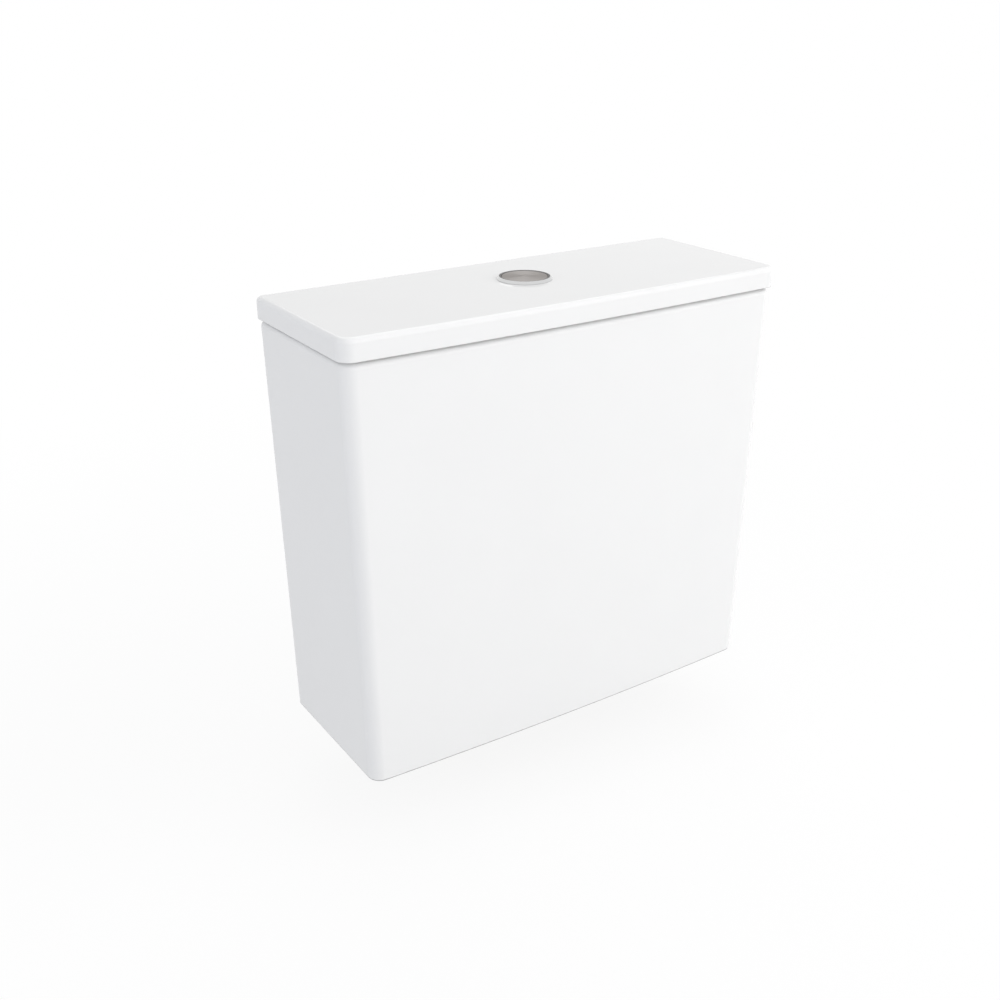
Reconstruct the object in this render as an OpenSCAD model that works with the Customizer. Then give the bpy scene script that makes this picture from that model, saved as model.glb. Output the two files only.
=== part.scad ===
// Close-coupled toilet cistern: a tapered china tank with a lift-off lid, a two-part push button,
// a drop-type flush valve with an overflow tube, and a bottom-entry float valve.
// Origin: on the flush outlet's axis, in the plane of the tank's underside. +Z is up, +Y is the wall.
// All sizes are in millimetres. The model is at rest with the tank dry and the lid on.

/* [Tank] */
// Width of the tank across its rim
tank_top_w = 386; // [366:1:410]
// Width of the tank at its base
tank_base_w = 371; // [356:1:400]
// Depth of the tank at its rim, from the front corners to the back
tank_top_d = 140.5; // [134:0.5:156]
// Depth of the tank at its base
tank_base_d = 139.5; // [132:0.5:154]
// Height of the rim above the underside
tank_h = 333.75; // [316:0.25:360]
// Distance from the outlet's axis to the back face
back_y = 66; // [63:0.5:78]
// Thickness of the china walls
wall = 9; // [8:0.5:11]
// Thickness of the china floor
floor_t = 12; // [9:0.5:15]
// Radius of the two front upright edges
front_corner_r = 10.5; // [9:0.5:16]
// Radius of the two back upright edges
back_corner_r = 7; // [6.5:0.5:12]
// Radius of the edge round the base
base_edge_r = 1.5; // [1:0.25:5]
// Radius of the rim's outer edge
rim_r = 5; // [1.5:0.25:5]
// Radius of the rim's inner edge
rim_inner_r = 1.5; // [1:0.25:2]
// Radius of the inside corners
inner_corner_r = 6; // [4:0.5:6.5]
// Radius where the inside walls meet the floor
floor_fillet_r = 10; // [6:1:14]
// How far the front bows out at its middle
front_bow = 3.3; // [1:0.1:6]

/* [Holes in the tank] */
// Diameter of the flush outlet hole
outlet_hole_d = 64; // [62:0.5:68]
// Diameter of the water inlet hole
inlet_hole_d = 24; // [22.5:0.5:28]
// Distance of the inlet's axis to the left of the outlet's
inlet_x = 140; // [134:1:146]
// Distance between the two coupling bolts
bolt_spacing = 150; // [140:1:160]
// Diameter of the coupling bolt holes
bolt_hole_d = 12; // [11:0.5:14]
// Distance between the two wall screw holes
wall_hole_spacing = 240; // [200:5:280]
// Diameter of the wall screw holes
wall_hole_d = 8; // [6:0.5:10]
// Depth of the wall screw holes below the rim
wall_hole_drop = 56; // [45:1:80]

/* [Lid] */
// Overhang of the lid past the rim at the front and sides
lid_overhang = 2; // [1:0.5:5]
// Gap between the rim and the lid, which the buffers fill
lid_gap = 1.25; // [0.75:0.25:4]
// Height of the lid's edge
lid_t = 16.5; // [14:0.5:22]
// Thickness of the lid's plate inside its lip
lid_plate_t = 9; // [7:0.5:11]
// Radius of the lid's upper edge
lid_edge_r = 4; // [2:0.5:6]
// Radius of the lid's lower edge
lid_lower_r = 0.5; // [0.25:0.25:2.5]
// Depth of the locating lip below the lid's edge
lip_h = 8; // [5:0.5:12]
// Thickness of the locating lip
lip_t = 7; // [5:0.5:10]
// Gap between the lip and the tank's inside
lip_gap = 3; // [2:0.5:5]
// Length of one buffer
buffer_len = 16; // [10:1:24]
// Distance between the buffers on one side
buffer_spacing = 80; // [60:1:90]

/* [Push button] */
// Diameter of the bezel
bezel_d = 43; // [42.5:0.5:48]
// Height of the bezel above the lid
bezel_h = 2.3; // [1.9:0.1:5]
// Width of the ledge in the bezel that carries the guide ring
guide_seat_w = 1.1; // [0.8:0.1:1.4]
// Depth of the ledge below the bezel's rim
guide_seat_h = 1.4; // [0.8:0.1:1.6]
// Height of the guide ring's edge above the bezel's rim
guide_rise = 0.15; // [0:0.05:0.4]
// Gap between the buttons and the guide ring
guide_gap = 0.25; // [0.2:0.05:0.4]
// Diameter of the bezel's sleeve through the lid
sleeve_d = 39.4; // [38.6:0.2:40.4]
// Wall of the sleeve
sleeve_wall = 1.1; // [0.9:0.1:1.4]
// Length of the sleeve below the lid's top
sleeve_len = 32; // [29:0.5:36]
// Thickness of the sleeve's guide plate
guide_plate_t = 2; // [1.6:0.2:3]
// Clearance round the sleeve in the lid
sleeve_clear = 0.4; // [0.2:0.1:0.6]
// Diameter of the lock nut under the lid
lock_nut_d = 54; // [50:0.5:60]
// Thickness of the lock nut
lock_nut_t = 7; // [5:0.5:9]
// Gap between the buttons and the sleeve
button_gap = 0.7; // [0.3:0.05:0.9]
// Distance of the split between the buttons behind the middle
split_y = 3; // [1:0.5:4]
// Width of the split
split_gap = 0.4; // [0.3:0.1:1.2]
// Depth of the buttons' top below the bezel's rim
button_recess = 0.2; // [0:0.1:1]
// Thickness of a button's top
button_plate_t = 2.4; // [1.8:0.2:3]
// Height of a button with its skirt
button_skirt_h = 10; // [8:0.5:12]
// Thickness of a button's skirt
button_skirt_t = 1.2; // [1:0.1:1.5]
// Radius of the edge round a button's top
button_edge_r = 0.4; // [0.2:0.1:1.2]
// Travel of a button
press = 7; // [5:0.5:8]
// Diameter of a button's stem
stem_d = 6; // [5.6:0.2:6.4]
// Diameter of a push rod
rod_d = 4; // [3.4:0.2:4.2]
// Length of a push rod below the sleeve
push_rod_len = 26; // [24:0.5:34]
// Diameter of the spring wire
spring_wire_d = 0.7; // [0.5:0.1:0.9]
// Coils in a button's spring
spring_coils = 6; // [4:1:8]

/* [Flush valve] */
// Diameter of the outlet's threaded shank
shank_d = 59.6; // [57:0.2:60.4]
// Bore of the flush outlet
outlet_bore_d = 49; // [46:0.5:50]
// Length of the shank below the tank
shank_drop = 32; // [30:1:46]
// Margin of the flange inside the tank round the tower's foot
flange_margin = 4; // [3.6:0.2:8]
// Thickness of the flange
valve_flange_t = 4; // [3:0.5:6]
// Thickness of the washer under the flange
base_washer_t = 3; // [2:0.5:4]
// Height of the valve seat above the flange
seat_h = 5; // [4:0.5:7]
// Diameter of the tower
tower_d = 72; // [70:0.5:76]
// Wall of the tower
tower_wall = 2.4; // [1.8:0.2:3]
// Height of the water windows at the foot of the tower
window_h = 44; // [36:1:56]
// Width of the water windows
window_w = 34; // [28:1:38]
// Outside diameter of the overflow tube
tube_d = 26; // [24:0.5:27]
// Wall of the overflow tube
tube_wall = 1.8; // [1.4:0.2:2.4]
// Diameter of the flush seal
seal_d = 62; // [60:0.5:63]
// Thickness of the flush seal
seal_t = 3; // [2:0.5:4]
// Height of the ring float on the tube
ring_float_h = 40; // [30:1:46]
// Thickness of the backnut under the tank
backnut_t = 10; // [8:0.5:12]
// Height of the coupling gasket
gasket_h = 18; // [14:1:19]
// Diameter of the coupling gasket
gasket_d = 84; // [80:1:96]

/* [Flush levers] */
// Length of a lever from its pivot to the push rod
pad_arm = 11; // [10:0.5:11.5]
// Length of a lever from its pivot to the hook
lift_arm = 24; // [22:0.5:26]
// Distance of each lever to the side of the middle
lever_x = 6.5; // [5.5:0.25:7]
// Width of a lever's arms
lever_w = 7; // [5:0.5:8]
// Radius of a lever's rounded tips
tip_r = 3; // [2.5:0.25:3.5]
// Diameter of the lever pin
lever_pin_d = 4.9; // [4:0.1:5.4]
// Thickness of the tower's cheeks
cheek_t = 3; // [2.4:0.2:4]

/* [Float valve] */
// Diameter of the threaded inlet tail
tail_d = 20.9; // [20:0.1:21.3]
// Length of the inlet tail below the tank
tail_drop = 44; // [38:1:50]
// Bore of the inlet tail
tail_bore_d = 15; // [12:0.5:16]
// Diameter of the inlet valve's flange
fill_flange_d = 34; // [32:0.5:40]
// Diameter of the inlet backnut's washer face
fill_nut_d = 36; // [34:0.5:42]
// Thickness of the inlet backnut
fill_nut_t = 10; // [8:0.5:12]
// Diameter of the valve's column
column_d = 19; // [18.5:0.5:20]
// Diameter of the hush sleeve round the column
hush_d = 29; // [27:0.5:32]
// Diameter of the float cup
float_d = 58; // [50:1:62]
// Height of the float cup
float_h = 48; // [40:1:54]
// Wall of the float cup
float_wall = 1.8; // [1.4:0.2:2.4]
// Travel of the float
float_travel = 12; // [9:0.5:13]
// Diameter of the valve head
head_d = 35; // [32:0.5:38]
// Height of the valve head
head_h = 26; // [22:1:30]
// Length of the float lever from its pivot to the link
link_arm = 28; // [27:0.5:32]
// Length of the float lever from its pivot to the pilot seal
pilot_arm = 10; // [9:0.5:11]
// Diameter of the link rod
link_d = 4; // [3.4:0.2:4.4]

/* [Coupling bolts] */
// Diameter of a bolt's plain shank
bolt_d = 8; // [7:0.2:8.4]
// Length of a bolt below the tank
bolt_drop = 54; // [50:1:60]
// Diameter of the rubber cone washer inside the tank
cone_washer_d = 30; // [26:1:34]
// Thickness of the rubber cone washer
cone_washer_t = 7; // [5:0.5:9]
// Length of the cone washer's spigot in the tank's hole
spigot_len = 6; // [3:0.5:8]
// Thickness of the steel washers
steel_washer_t = 1.6; // [1:0.1:2]

/* [Hidden] */
$fn = 64;

// Colours
china = "white";
chrome = "silver";
satin = [0.63, 0.62, 0.61];
white_plastic = [0.92, 0.93, 0.93];
grey_plastic = [0.55, 0.58, 0.61];
blue_plastic = [0.20, 0.42, 0.68];
green_plastic = [0.30, 0.58, 0.38];
black_rubber = [0.10, 0.10, 0.11];
black_plastic = [0.08, 0.08, 0.09];
red_rubber = [0.66, 0.20, 0.16];
brass = [0.72, 0.58, 0.30];
steel = [0.66, 0.67, 0.68];

// General clearances
slide_clear = 0.4;
touch_clear = 0.3;
fit_clear = 0.05;
eps = 0.01;

// Tessellation of the lofted china
corner_steps = 8;
bow_steps = 12;
edge_steps = 4;

// Levels of the lid and the push button
front_top_y = back_y - tank_top_d;
front_base_y = back_y - tank_base_d;
lid_z0 = tank_h + lid_gap;
lid_z1 = lid_z0 + lid_t;
lid_ceiling = lid_z1 - lid_plate_t;
lid_w = tank_top_w + 2 * lid_overhang;
lid_front_y = front_top_y - lid_overhang;
lip_inset = lid_overhang + wall + lip_gap;
lip_back_inset = wall + lip_gap;
sleeve_r = sleeve_d / 2;
sleeve_bore_r = sleeve_r - sleeve_wall;
sleeve_z0 = lid_z1 - sleeve_len;
guide_z1 = sleeve_z0 + guide_plate_t;
bezel_z1 = lid_z1 + bezel_h;
bezel_open_r = sleeve_bore_r + guide_seat_w;
button_r = sleeve_bore_r - button_gap;
button_z1 = bezel_z1 - button_recess;
button_under = button_z1 - button_plate_t;
stem_r = stem_d / 2;
stem_z0 = sleeve_z0 - touch_clear;
rod_r = rod_d / 2;
rod_collar_t = 2.5;
rod_socket = 8;
spring_mean_r = stem_r + 0.4 + spring_wire_d / 2;
spring_outer_r = spring_mean_r + spring_wire_d / 2;
spring_z0 = guide_z1 + spring_wire_d / 2;
spring_z1 = button_under - spring_wire_d / 2;

// Lever geometry: each lever turns equally far above and below the level
half_swing = press / pad_arm * 90 / PI;
lift = 2 * lift_arm * sin(half_swing);
rod_tip_z = sleeve_z0 - push_rod_len;
lever_z = rod_tip_z - touch_clear - tip_r - pad_arm * sin(half_swing);
lever_pin_r = lever_pin_d / 2;
lever_arm_r = tip_r - 1;
hub_r = lever_pin_r + 3;
hook_y = lift_arm + tip_r + 0.6;
hook_t = 3;
hook_w = lever_w + 2;
ledge_z0 = lever_z - lift_arm * sin(half_swing) + tip_r + touch_clear;
ledge_t = 4;

// Levels of the flush valve
tube_r = tube_d / 2;
lever_dip = tube_r * tan(half_swing) + tip_r / cos(half_swing) + 1.5;
tube_z1 = lever_z - 2 * lift - lever_dip;
tower_r = tower_d / 2;
tower_plate_t = 3;
tower_z1 = tube_z1 - 20;
yoke_t = 4;
yoke_z0 = tower_z1 + 0.2;
collar_z0 = yoke_z0 + yoke_t + 0.2;
collar_t = 3;
collar_r = tube_r + 3;
cheek_x = collar_r + 1;
cheek_r = 8.5;
base_z0 = floor_t + base_washer_t;
base_z1 = base_z0 + valve_flange_t;
seat_z = base_z1 + seat_h;
seal_r = seal_d / 2;
seal_z1 = seat_z + seal_t;
outlet_bore_r = outlet_bore_d / 2;
throat_r = outlet_bore_r + 1.5;
shank_r = shank_d / 2;
retainer_t = 3;
tube_z0 = seat_z - retainer_t;
foot_r = tower_r + 3;
foot_t = 3;
valve_flange_r = foot_r + flange_margin;
lug_w = 10;
lug_lip = 2.5;
ring_float_z0 = base_z1 + window_h + 26;
ring_float_r = tower_r - tower_wall - 2.6;

// Levels of the float valve
fill_washer_t = 3;
fill_z0 = floor_t + fill_washer_t;
fill_z1 = fill_z0 + 4;
tail_r = tail_d / 2;
neck_r = tail_r + 0.2;
neck_drop = fill_nut_t + 2;
column_r = column_d / 2;
hush_r = hush_d / 2;
hush_wall = 1.5;
head_r = head_d / 2;
head_z0 = tube_z1 - 8;
head_z1 = head_z0 + head_h;
diaphragm_t = 2;
cap_t = 6;
cap_z1 = head_z1 + cap_t;
nozzle_h = 3;
pilot_seal_t = 2;
arm_r = 2.5;
float_half = float_travel / link_arm * 90 / PI;
pivot_x = -inlet_x + pilot_arm;
pivot_z = cap_z1 + nozzle_h + touch_clear + pilot_seal_t + arm_r;
float_pin_r = 1.5;
ear_y = 3.4;
ear_t = 3;
fork_r = 3;
fork_bar_r = fork_r - 1.2;
fork_len = 9;
fork_z = pivot_z - link_arm * sin(float_half);
link_r = link_d / 2;
link_x = pivot_x + link_arm * (1 + cos(float_half)) / 2;
float_r = float_d / 2;
float_z1 = head_z0 - float_travel - 5;
float_z0 = float_z1 - float_h;
stop_z1 = float_z0 - touch_clear;
lug_t = 3;
clip_h = 6;

// Levels of the coupling bolts
bolt_x = bolt_spacing / 2;
bolt_r = bolt_d / 2;
shoulder_r = bolt_r + 0.5;
thread_r = bolt_r - 0.4;
head_washer_z0 = floor_t + cone_washer_t;
head_washer_z1 = head_washer_z0 + steel_washer_t;
bolt_head_h = 6;
wing_h = 9;
wing_z0 = 4 - bolt_drop;
pan_steel_z0 = wing_z0 + wing_h;
pan_rubber_z0 = pan_steel_z0 + steel_washer_t;
pan_rubber_t = 3;
thread_z1 = pan_rubber_z0 + pan_rubber_t + 6;

// One rounded outline of the china at a height, as points in order round it
function arc_points(cx, cy, r, a0, z) =
    [for (i = [0 : corner_steps]) let (a = a0 + 90 * i / corner_steps) [cx + r * cos(a), cy + r * sin(a), z]];

function bow_points(xe, yf, bow, z) =
    [for (i = [1 : bow_steps - 1])
        let (t = 2 * i / bow_steps - 1) [xe * t, yf - bow * (1 - t * t), z]];

function outline(w, yf, yb, rf, rb, z) = concat(
    arc_points(w / 2 - rb, yb - rb, rb, 0, z),
    arc_points(-w / 2 + rb, yb - rb, rb, 90, z),
    arc_points(-w / 2 + rf, yf + rf, rf, 180, z),
    bow_points(w / 2 - rf, yf, front_bow, z),
    arc_points(w / 2 - rf, yf + rf, rf, 270, z)
);

function mix(a, b, t) = a + (b - a) * t;

// The tank's outline at a height, moved inwards by a distance
function tank_ring(inset, z) = outline(
    mix(tank_base_w, tank_top_w, z / tank_h) - 2 * inset,
    mix(front_base_y, front_top_y, z / tank_h) + inset,
    back_y - inset,
    max(front_corner_r - inset, inner_corner_r),
    max(back_corner_r - inset, inner_corner_r),
    z
);

// The lid's outline, moved inwards by one distance in front and at the sides and another at the back
function lid_ring(inset, back_inset, z) = outline(
    lid_w - 2 * inset,
    lid_front_y + inset,
    back_y - back_inset,
    max(front_corner_r - inset, 4),
    max(back_corner_r - inset, 3),
    z
);

// A closed solid through a list of outlines with the same number of points
module loft(rings) {
    n = len(rings[0]);
    last = len(rings) - 1;
    sides = [
        for (i = [0 : last - 1], j = [0 : n - 1], k = [0 : 1])
            let (a = i * n + j, d = i * n + (j + 1) % n)
                k == 0 ? [a, a + n, d + n] : [a, d + n, d]
    ];
    polyhedron(
        points = [for (r = rings) each r],
        faces = concat([[for (j = [0 : n - 1]) j]], sides, [[for (j = [n - 1 : -1 : 0]) last * n + j]])
    );
}

// A plain tube
module pipe(r_out, r_in, h) {
    difference() {
        cylinder(r = r_out, h = h);
        translate([0, 0, -1])
            cylinder(r = r_in, h = h + 2);
    }
}

// A bar with round ends, flat in the plane, from the middle outwards along +X
module bar2d(len, r) {
    translate([0, -r])
        square([len, 2 * r]);
    circle(r = r);
    translate([len, 0])
        circle(r = r);
}

// A slimmer bar of the same kind with a larger round tip at its far end
module tipped_bar2d(len, r, tip) {
    bar2d(len, r);
    translate([len, 0])
        circle(r = tip);
}

// A nut's outline with finger notches round it
module notched2d(r, notches, notch_r) {
    difference() {
        circle(r = r);
        for (i = [0 : notches - 1])
            rotate(360 * i / notches)
                translate([r + notch_r * 0.45, 0])
                    circle(r = notch_r);
    }
}

// One open coil of round wire with flat-sided section
function coil_ring(t, r, z0, z1, coils, wire_r) =
    let (a = 360 * coils * t)
        [for (k = [0 : 5]) let (q = r + wire_r * cos(60 * k))
            [q * cos(a), q * sin(a), mix(z0, z1, t) + wire_r * sin(60 * k)]];

module coil(r, z0, z1, coils, wire_r) {
    steps = coils * 12;
    loft([for (i = [0 : steps]) [for (k = [5 : -1 : 0]) coil_ring(i / steps, r, z0, z1, coils, wire_r)[k]]]);
}

spring_pitch_gap = (spring_z1 - spring_z0) / spring_coils - spring_wire_d;
echo(spring_gap_at_rest = spring_pitch_gap);

module cistern_tank() {
    arc = [for (i = [0 : edge_steps]) 90 * i / edge_steps];
    color(china)
        difference() {
            loft(concat(
                [for (a = arc) tank_ring(base_edge_r * (1 - sin(a)), base_edge_r * (1 - cos(a)))],
                [for (a = arc) tank_ring(rim_r * (1 - cos(a)), tank_h - rim_r * (1 - sin(a)))],
                [for (a = arc) tank_ring(wall - rim_inner_r * (1 - sin(a)), tank_h - rim_inner_r * (1 - cos(a)))],
                [for (a = arc) tank_ring(wall + floor_fillet_r * (1 - cos(a)),
                    floor_t + floor_fillet_r * (1 - sin(a)))]
            ));
            translate([0, 0, -1])
                cylinder(d = outlet_hole_d, h = floor_t + 2);
            translate([-inlet_x, 0, -1])
                cylinder(d = inlet_hole_d, h = floor_t + 2);
            for (s = [-1, 1])
                translate([s * bolt_x, 0, -1])
                    cylinder(d = bolt_hole_d, h = floor_t + 2);
            for (s = [-1, 1])
                translate([s * wall_hole_spacing / 2, back_y + 1, tank_h - wall_hole_drop])
                    rotate([90, 0, 0])
                        cylinder(d = wall_hole_d, h = wall + 2);
        }
}

module cistern_lid() {
    arc = [for (i = [0 : edge_steps]) 90 * i / edge_steps];
    lip_in = lip_inset + lip_t;
    lip_back_in = lip_back_inset + lip_t;
    color(china)
        difference() {
            loft(concat(
                [lid_ring(lip_in + 4, lip_back_in + 4, lid_ceiling)],
                [lid_ring(lip_in, lip_back_in, lid_z0 - lip_h + 1.5)],
                [lid_ring(lip_in - 1.5, lip_back_in - 1.5, lid_z0 - lip_h)],
                [lid_ring(lip_inset + 1.5, lip_back_inset + 1.5, lid_z0 - lip_h)],
                [lid_ring(lip_inset, lip_back_inset, lid_z0 - lip_h + 1.5)],
                [lid_ring(lip_inset, lip_back_inset, lid_z0)],
                [for (a = arc) lid_ring(lid_lower_r * (1 - sin(a)), lid_lower_r * (1 - sin(a)),
                    lid_z0 + lid_lower_r * (1 - cos(a)))],
                [for (a = arc) lid_ring(lid_edge_r * (1 - cos(a)), lid_edge_r * (1 - cos(a)),
                    lid_z1 - lid_edge_r * (1 - sin(a)))]
            ));
            translate([0, 0, lid_ceiling - 1])
                cylinder(r = sleeve_r + sleeve_clear, h = lid_plate_t + 2);
        }
}

module lid_buffers() {
    flat_w = wall - rim_r - rim_inner_r;
    flat_x = tank_top_w / 2 - rim_r - flat_w / 2;
    color(white_plastic)
        for (sx = [-1, 1], sy = [-1, 1])
            translate([sx * flat_x, sy * buffer_spacing / 2, tank_h + lid_gap / 2])
                cube([flat_w - 0.4, buffer_len, lid_gap], center = true);
}

module button_bezel() {
    color(chrome)
        difference() {
            union() {
                translate([0, 0, sleeve_z0])
                    cylinder(r = sleeve_r, h = sleeve_len + eps);
                rotate_extrude()
                    polygon([
                        [0, lid_z1], [bezel_d / 2, lid_z1], [bezel_d / 2, lid_z1 + 0.6],
                        [bezel_open_r + 0.5, bezel_z1 - 0.2], [bezel_open_r + 0.25, bezel_z1], [0, bezel_z1]
                    ]);
            }
            translate([0, 0, guide_z1])
                cylinder(r = sleeve_bore_r, h = 2 * sleeve_len);
            translate([0, 0, bezel_z1 - guide_seat_h])
                cylinder(r = bezel_open_r, h = guide_seat_h + 1);
            for (s = [-1, 1])
                translate([s * lever_x, s * pad_arm, sleeve_z0 - 1])
                    cylinder(r = stem_r + touch_clear, h = guide_plate_t + 2);
        }
}

module button_guide_ring() {
    color(black_plastic)
        translate([0, 0, bezel_z1 - guide_seat_h])
            pipe(bezel_open_r - fit_clear, button_r + guide_gap, guide_seat_h + guide_rise);
}

module button_lock_nut() {
    color(white_plastic)
        translate([0, 0, lid_ceiling - lock_nut_t])
            difference() {
                linear_extrude(lock_nut_t)
                    notched2d(lock_nut_d / 2, 12, 4);
                translate([0, 0, -1])
                    cylinder(r = sleeve_r + fit_clear, h = lock_nut_t + 2);
            }
}

// One button's outline: the part of the disc in front of the split or behind it
module button2d(side, inset) {
    intersection() {
        circle(r = button_r - inset);
        translate([-button_r, side < 0 ? split_y - split_gap / 2 - inset - 2 * button_r
            : split_y + split_gap / 2 + inset])
            square(2 * button_r);
    }
}

// The round blank that both buttons are cut from, with a rounded upper edge
module button_crown() {
    z0 = button_z1 - button_skirt_h - 1;
    r_in = button_r - button_edge_r;
    rotate_extrude() {
        translate([0, z0])
            square([r_in, button_z1 - z0]);
        translate([0, z0])
            square([button_r, button_z1 - button_edge_r - z0]);
        translate([r_in, button_z1 - button_edge_r])
            intersection() {
                circle(r = button_edge_r);
                square(button_edge_r);
            }
    }
}

// One button with its skirt and its stem, side -1 in front of the split and +1 behind it
module button(side) {
    difference() {
        union() {
            difference() {
                intersection() {
                    translate([0, 0, button_z1 - button_skirt_h])
                        linear_extrude(button_skirt_h)
                            button2d(side, 0);
                    button_crown();
                }
                translate([0, 0, button_z1 - button_skirt_h - 1])
                    linear_extrude(button_skirt_h - button_plate_t + 1)
                        button2d(side, button_skirt_t);
                translate([side * lever_x, side * pad_arm, button_z1 - button_skirt_h - 1])
                    cylinder(r = spring_outer_r + touch_clear, h = button_skirt_h - button_plate_t + 1);
            }
            translate([side * lever_x, side * pad_arm, stem_z0])
                cylinder(r = stem_r, h = button_under - stem_z0 + eps);
        }
        translate([side * lever_x, side * pad_arm, stem_z0 - 1])
            cylinder(r = rod_r + fit_clear, h = rod_socket + 1 + fit_clear);
    }
}

module full_flush_button() {
    color(satin)
        button(-1);
}

module half_flush_button() {
    color(satin)
        button(1);
}

module full_button_spring() {
    color(steel)
        translate([-lever_x, -pad_arm, 0])
            coil(spring_mean_r, spring_z0, spring_z1, spring_coils, spring_wire_d / 2);
}

module half_button_spring() {
    color(steel)
        translate([lever_x, pad_arm, 0])
            coil(spring_mean_r, spring_z0, spring_z1, spring_coils, spring_wire_d / 2);
}

// One push rod with the collar that stops its button at the top
module push_rod(side) {
    translate([side * lever_x, side * pad_arm, 0]) {
        translate([0, 0, rod_tip_z])
            cylinder(r = rod_r, h = stem_z0 + rod_socket - rod_tip_z);
        translate([0, 0, stem_z0 - rod_collar_t])
            cylinder(r = stem_r + 1.4, h = rod_collar_t);
    }
}

module full_push_rod() {
    color(blue_plastic)
        push_rod(-1);
}

module half_push_rod() {
    color(white_plastic)
        push_rod(1);
}

module valve_base() {
    color(white_plastic) {
        difference() {
            union() {
                translate([0, 0, -shank_drop])
                    cylinder(r = shank_r, h = shank_drop + base_z0 + eps);
                translate([0, 0, base_z0])
                    cylinder(r = valve_flange_r, h = valve_flange_t);
                translate([0, 0, base_z0])
                    cylinder(r = throat_r + 2.5, h = seat_z - base_z0);
            }
            translate([0, 0, -shank_drop - 1])
                cylinder(r = outlet_bore_r, h = shank_drop + base_z0);
            translate([0, 0, base_z0 - 1 - eps])
                cylinder(r = throat_r, h = seat_z - base_z0 + 2);
        }
        for (a = [0 : 90 : 270])
            rotate(a)
                base_lug();
    }
}

// A lug on the base that hooks over the tower's foot
module base_lug() {
    lug_x0 = foot_r + touch_clear;
    lug_x1 = valve_flange_r - 0.5;
    lip_z = base_z1 + foot_t + 0.2;
    translate([0, lug_w / 2, 0])
        rotate([90, 0, 0])
            linear_extrude(lug_w)
                polygon([
                    [lug_x0, base_z1 - eps], [lug_x1, base_z1 - eps], [lug_x1, lip_z + 1],
                    [lug_x1 - 1.4, lip_z + 2.4], [lug_x0 - lug_lip, lip_z + 1.4],
                    [lug_x0 - lug_lip, lip_z], [lug_x0, lip_z]
                ]);
}

module base_washer() {
    color(black_rubber)
        translate([0, 0, floor_t])
            pipe(valve_flange_r - 1, shank_r + touch_clear, base_washer_t);
}

module valve_backnut() {
    color(white_plastic)
        translate([0, 0, -backnut_t])
            difference() {
                linear_extrude(backnut_t)
                    notched2d(shank_r + 11, 8, 6);
                translate([0, 0, -1])
                    cylinder(r = shank_r + fit_clear, h = backnut_t + 2);
            }
}

module coupling_gasket() {
    r_in = shank_r + fit_clear;
    r_out = gasket_d / 2;
    z1 = -backnut_t;
    z0 = z1 - gasket_h;
    color(black_rubber)
        rotate_extrude()
            polygon([
                [r_in, z1], [r_out - 3, z1], [r_out, z1 - 3], [r_out, z1 - gasket_h * 0.45],
                [r_out - 8, z0 + 2], [r_out - 10, z0], [r_in, z0]
            ]);
}

module valve_tower() {
    shell_h = tower_z1 - base_z1;
    slot_z0 = base_z1 + window_h + 16;
    slot_w = 16;
    color(white_plastic) {
        difference() {
            translate([0, 0, base_z1]) {
                difference() {
                    cylinder(r = tower_r, h = shell_h);
                    translate([0, 0, -1])
                        cylinder(r = tower_r - tower_wall, h = shell_h - tower_plate_t + 1);
                }
                pipe(foot_r, tower_r - tower_wall, foot_t);
            }
            for (a = [0, 90])
                rotate(a) {
                    translate([-tower_r - 5, -window_w / 2, base_z1 + foot_t])
                        cube([2 * tower_r + 10, window_w, window_h]);
                    translate([-tower_r - 5, -slot_w / 2, slot_z0])
                        cube([2 * tower_r + 10, slot_w, tower_z1 - slot_z0 - 16]);
                }
            translate([0, 0, tower_z1 - tower_plate_t - 1])
                cylinder(r = tube_r + slide_clear, h = tower_plate_t + 2);
            for (a = [45 : 90 : 315])
                rotate(a)
                    translate([tower_r - 10, 0, tower_z1 - tower_plate_t - 1])
                        cylinder(r = 5, h = tower_plate_t + 2);
        }
        for (s = [-1, 1])
            tower_cheek(s);
    }
}

// One of the two upright cheeks that hold the lever pin
module tower_cheek(s) {
    translate([s > 0 ? cheek_x : -cheek_x - cheek_t, 0, 0])
        rotate([90, 0, 90])
            linear_extrude(cheek_t)
                difference() {
                    union() {
                        translate([-cheek_r, tower_z1 - eps])
                            square([2 * cheek_r, lever_z - tower_z1 + eps]);
                        translate([0, lever_z])
                            circle(r = cheek_r);
                    }
                    translate([0, lever_z])
                        circle(r = lever_pin_r + fit_clear);
                }
    rotate(s > 0 ? 0 : 180)
        translate([cheek_x + cheek_t - eps, 1.5, tower_z1 - eps])
            rotate([90, 0, 0])
                linear_extrude(3)
                    polygon([[0, 0], [tower_r - cheek_x - cheek_t - 2, 0], [0, 34]]);
}

// The hook that a lever lifts: an arm out from the middle, a strap up and a ledge over the lever's tip
module lift_hook(z0, arm_t) {
    y_in = tube_r + 1.5;
    y_out = hook_y + hook_t;
    y_tip = lift_arm * cos(half_swing) - tip_r;
    z1 = ledge_z0 + ledge_t;
    web = 6;
    translate([-hook_w / 2, 0, 0])
        rotate([90, 0, 90])
            linear_extrude(hook_w)
                polygon([
                    [y_in, z0], [y_out - 2, z0], [y_out, z0 + 2], [y_out, z1 - 2], [y_out - 2, z1],
                    [y_tip + 1, z1], [y_tip, z1 - 1], [y_tip, ledge_z0], [hook_y, ledge_z0],
                    [hook_y, z0 + arm_t + web], [hook_y - web, z0 + arm_t], [y_in, z0 + arm_t]
                ]);
}

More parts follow.
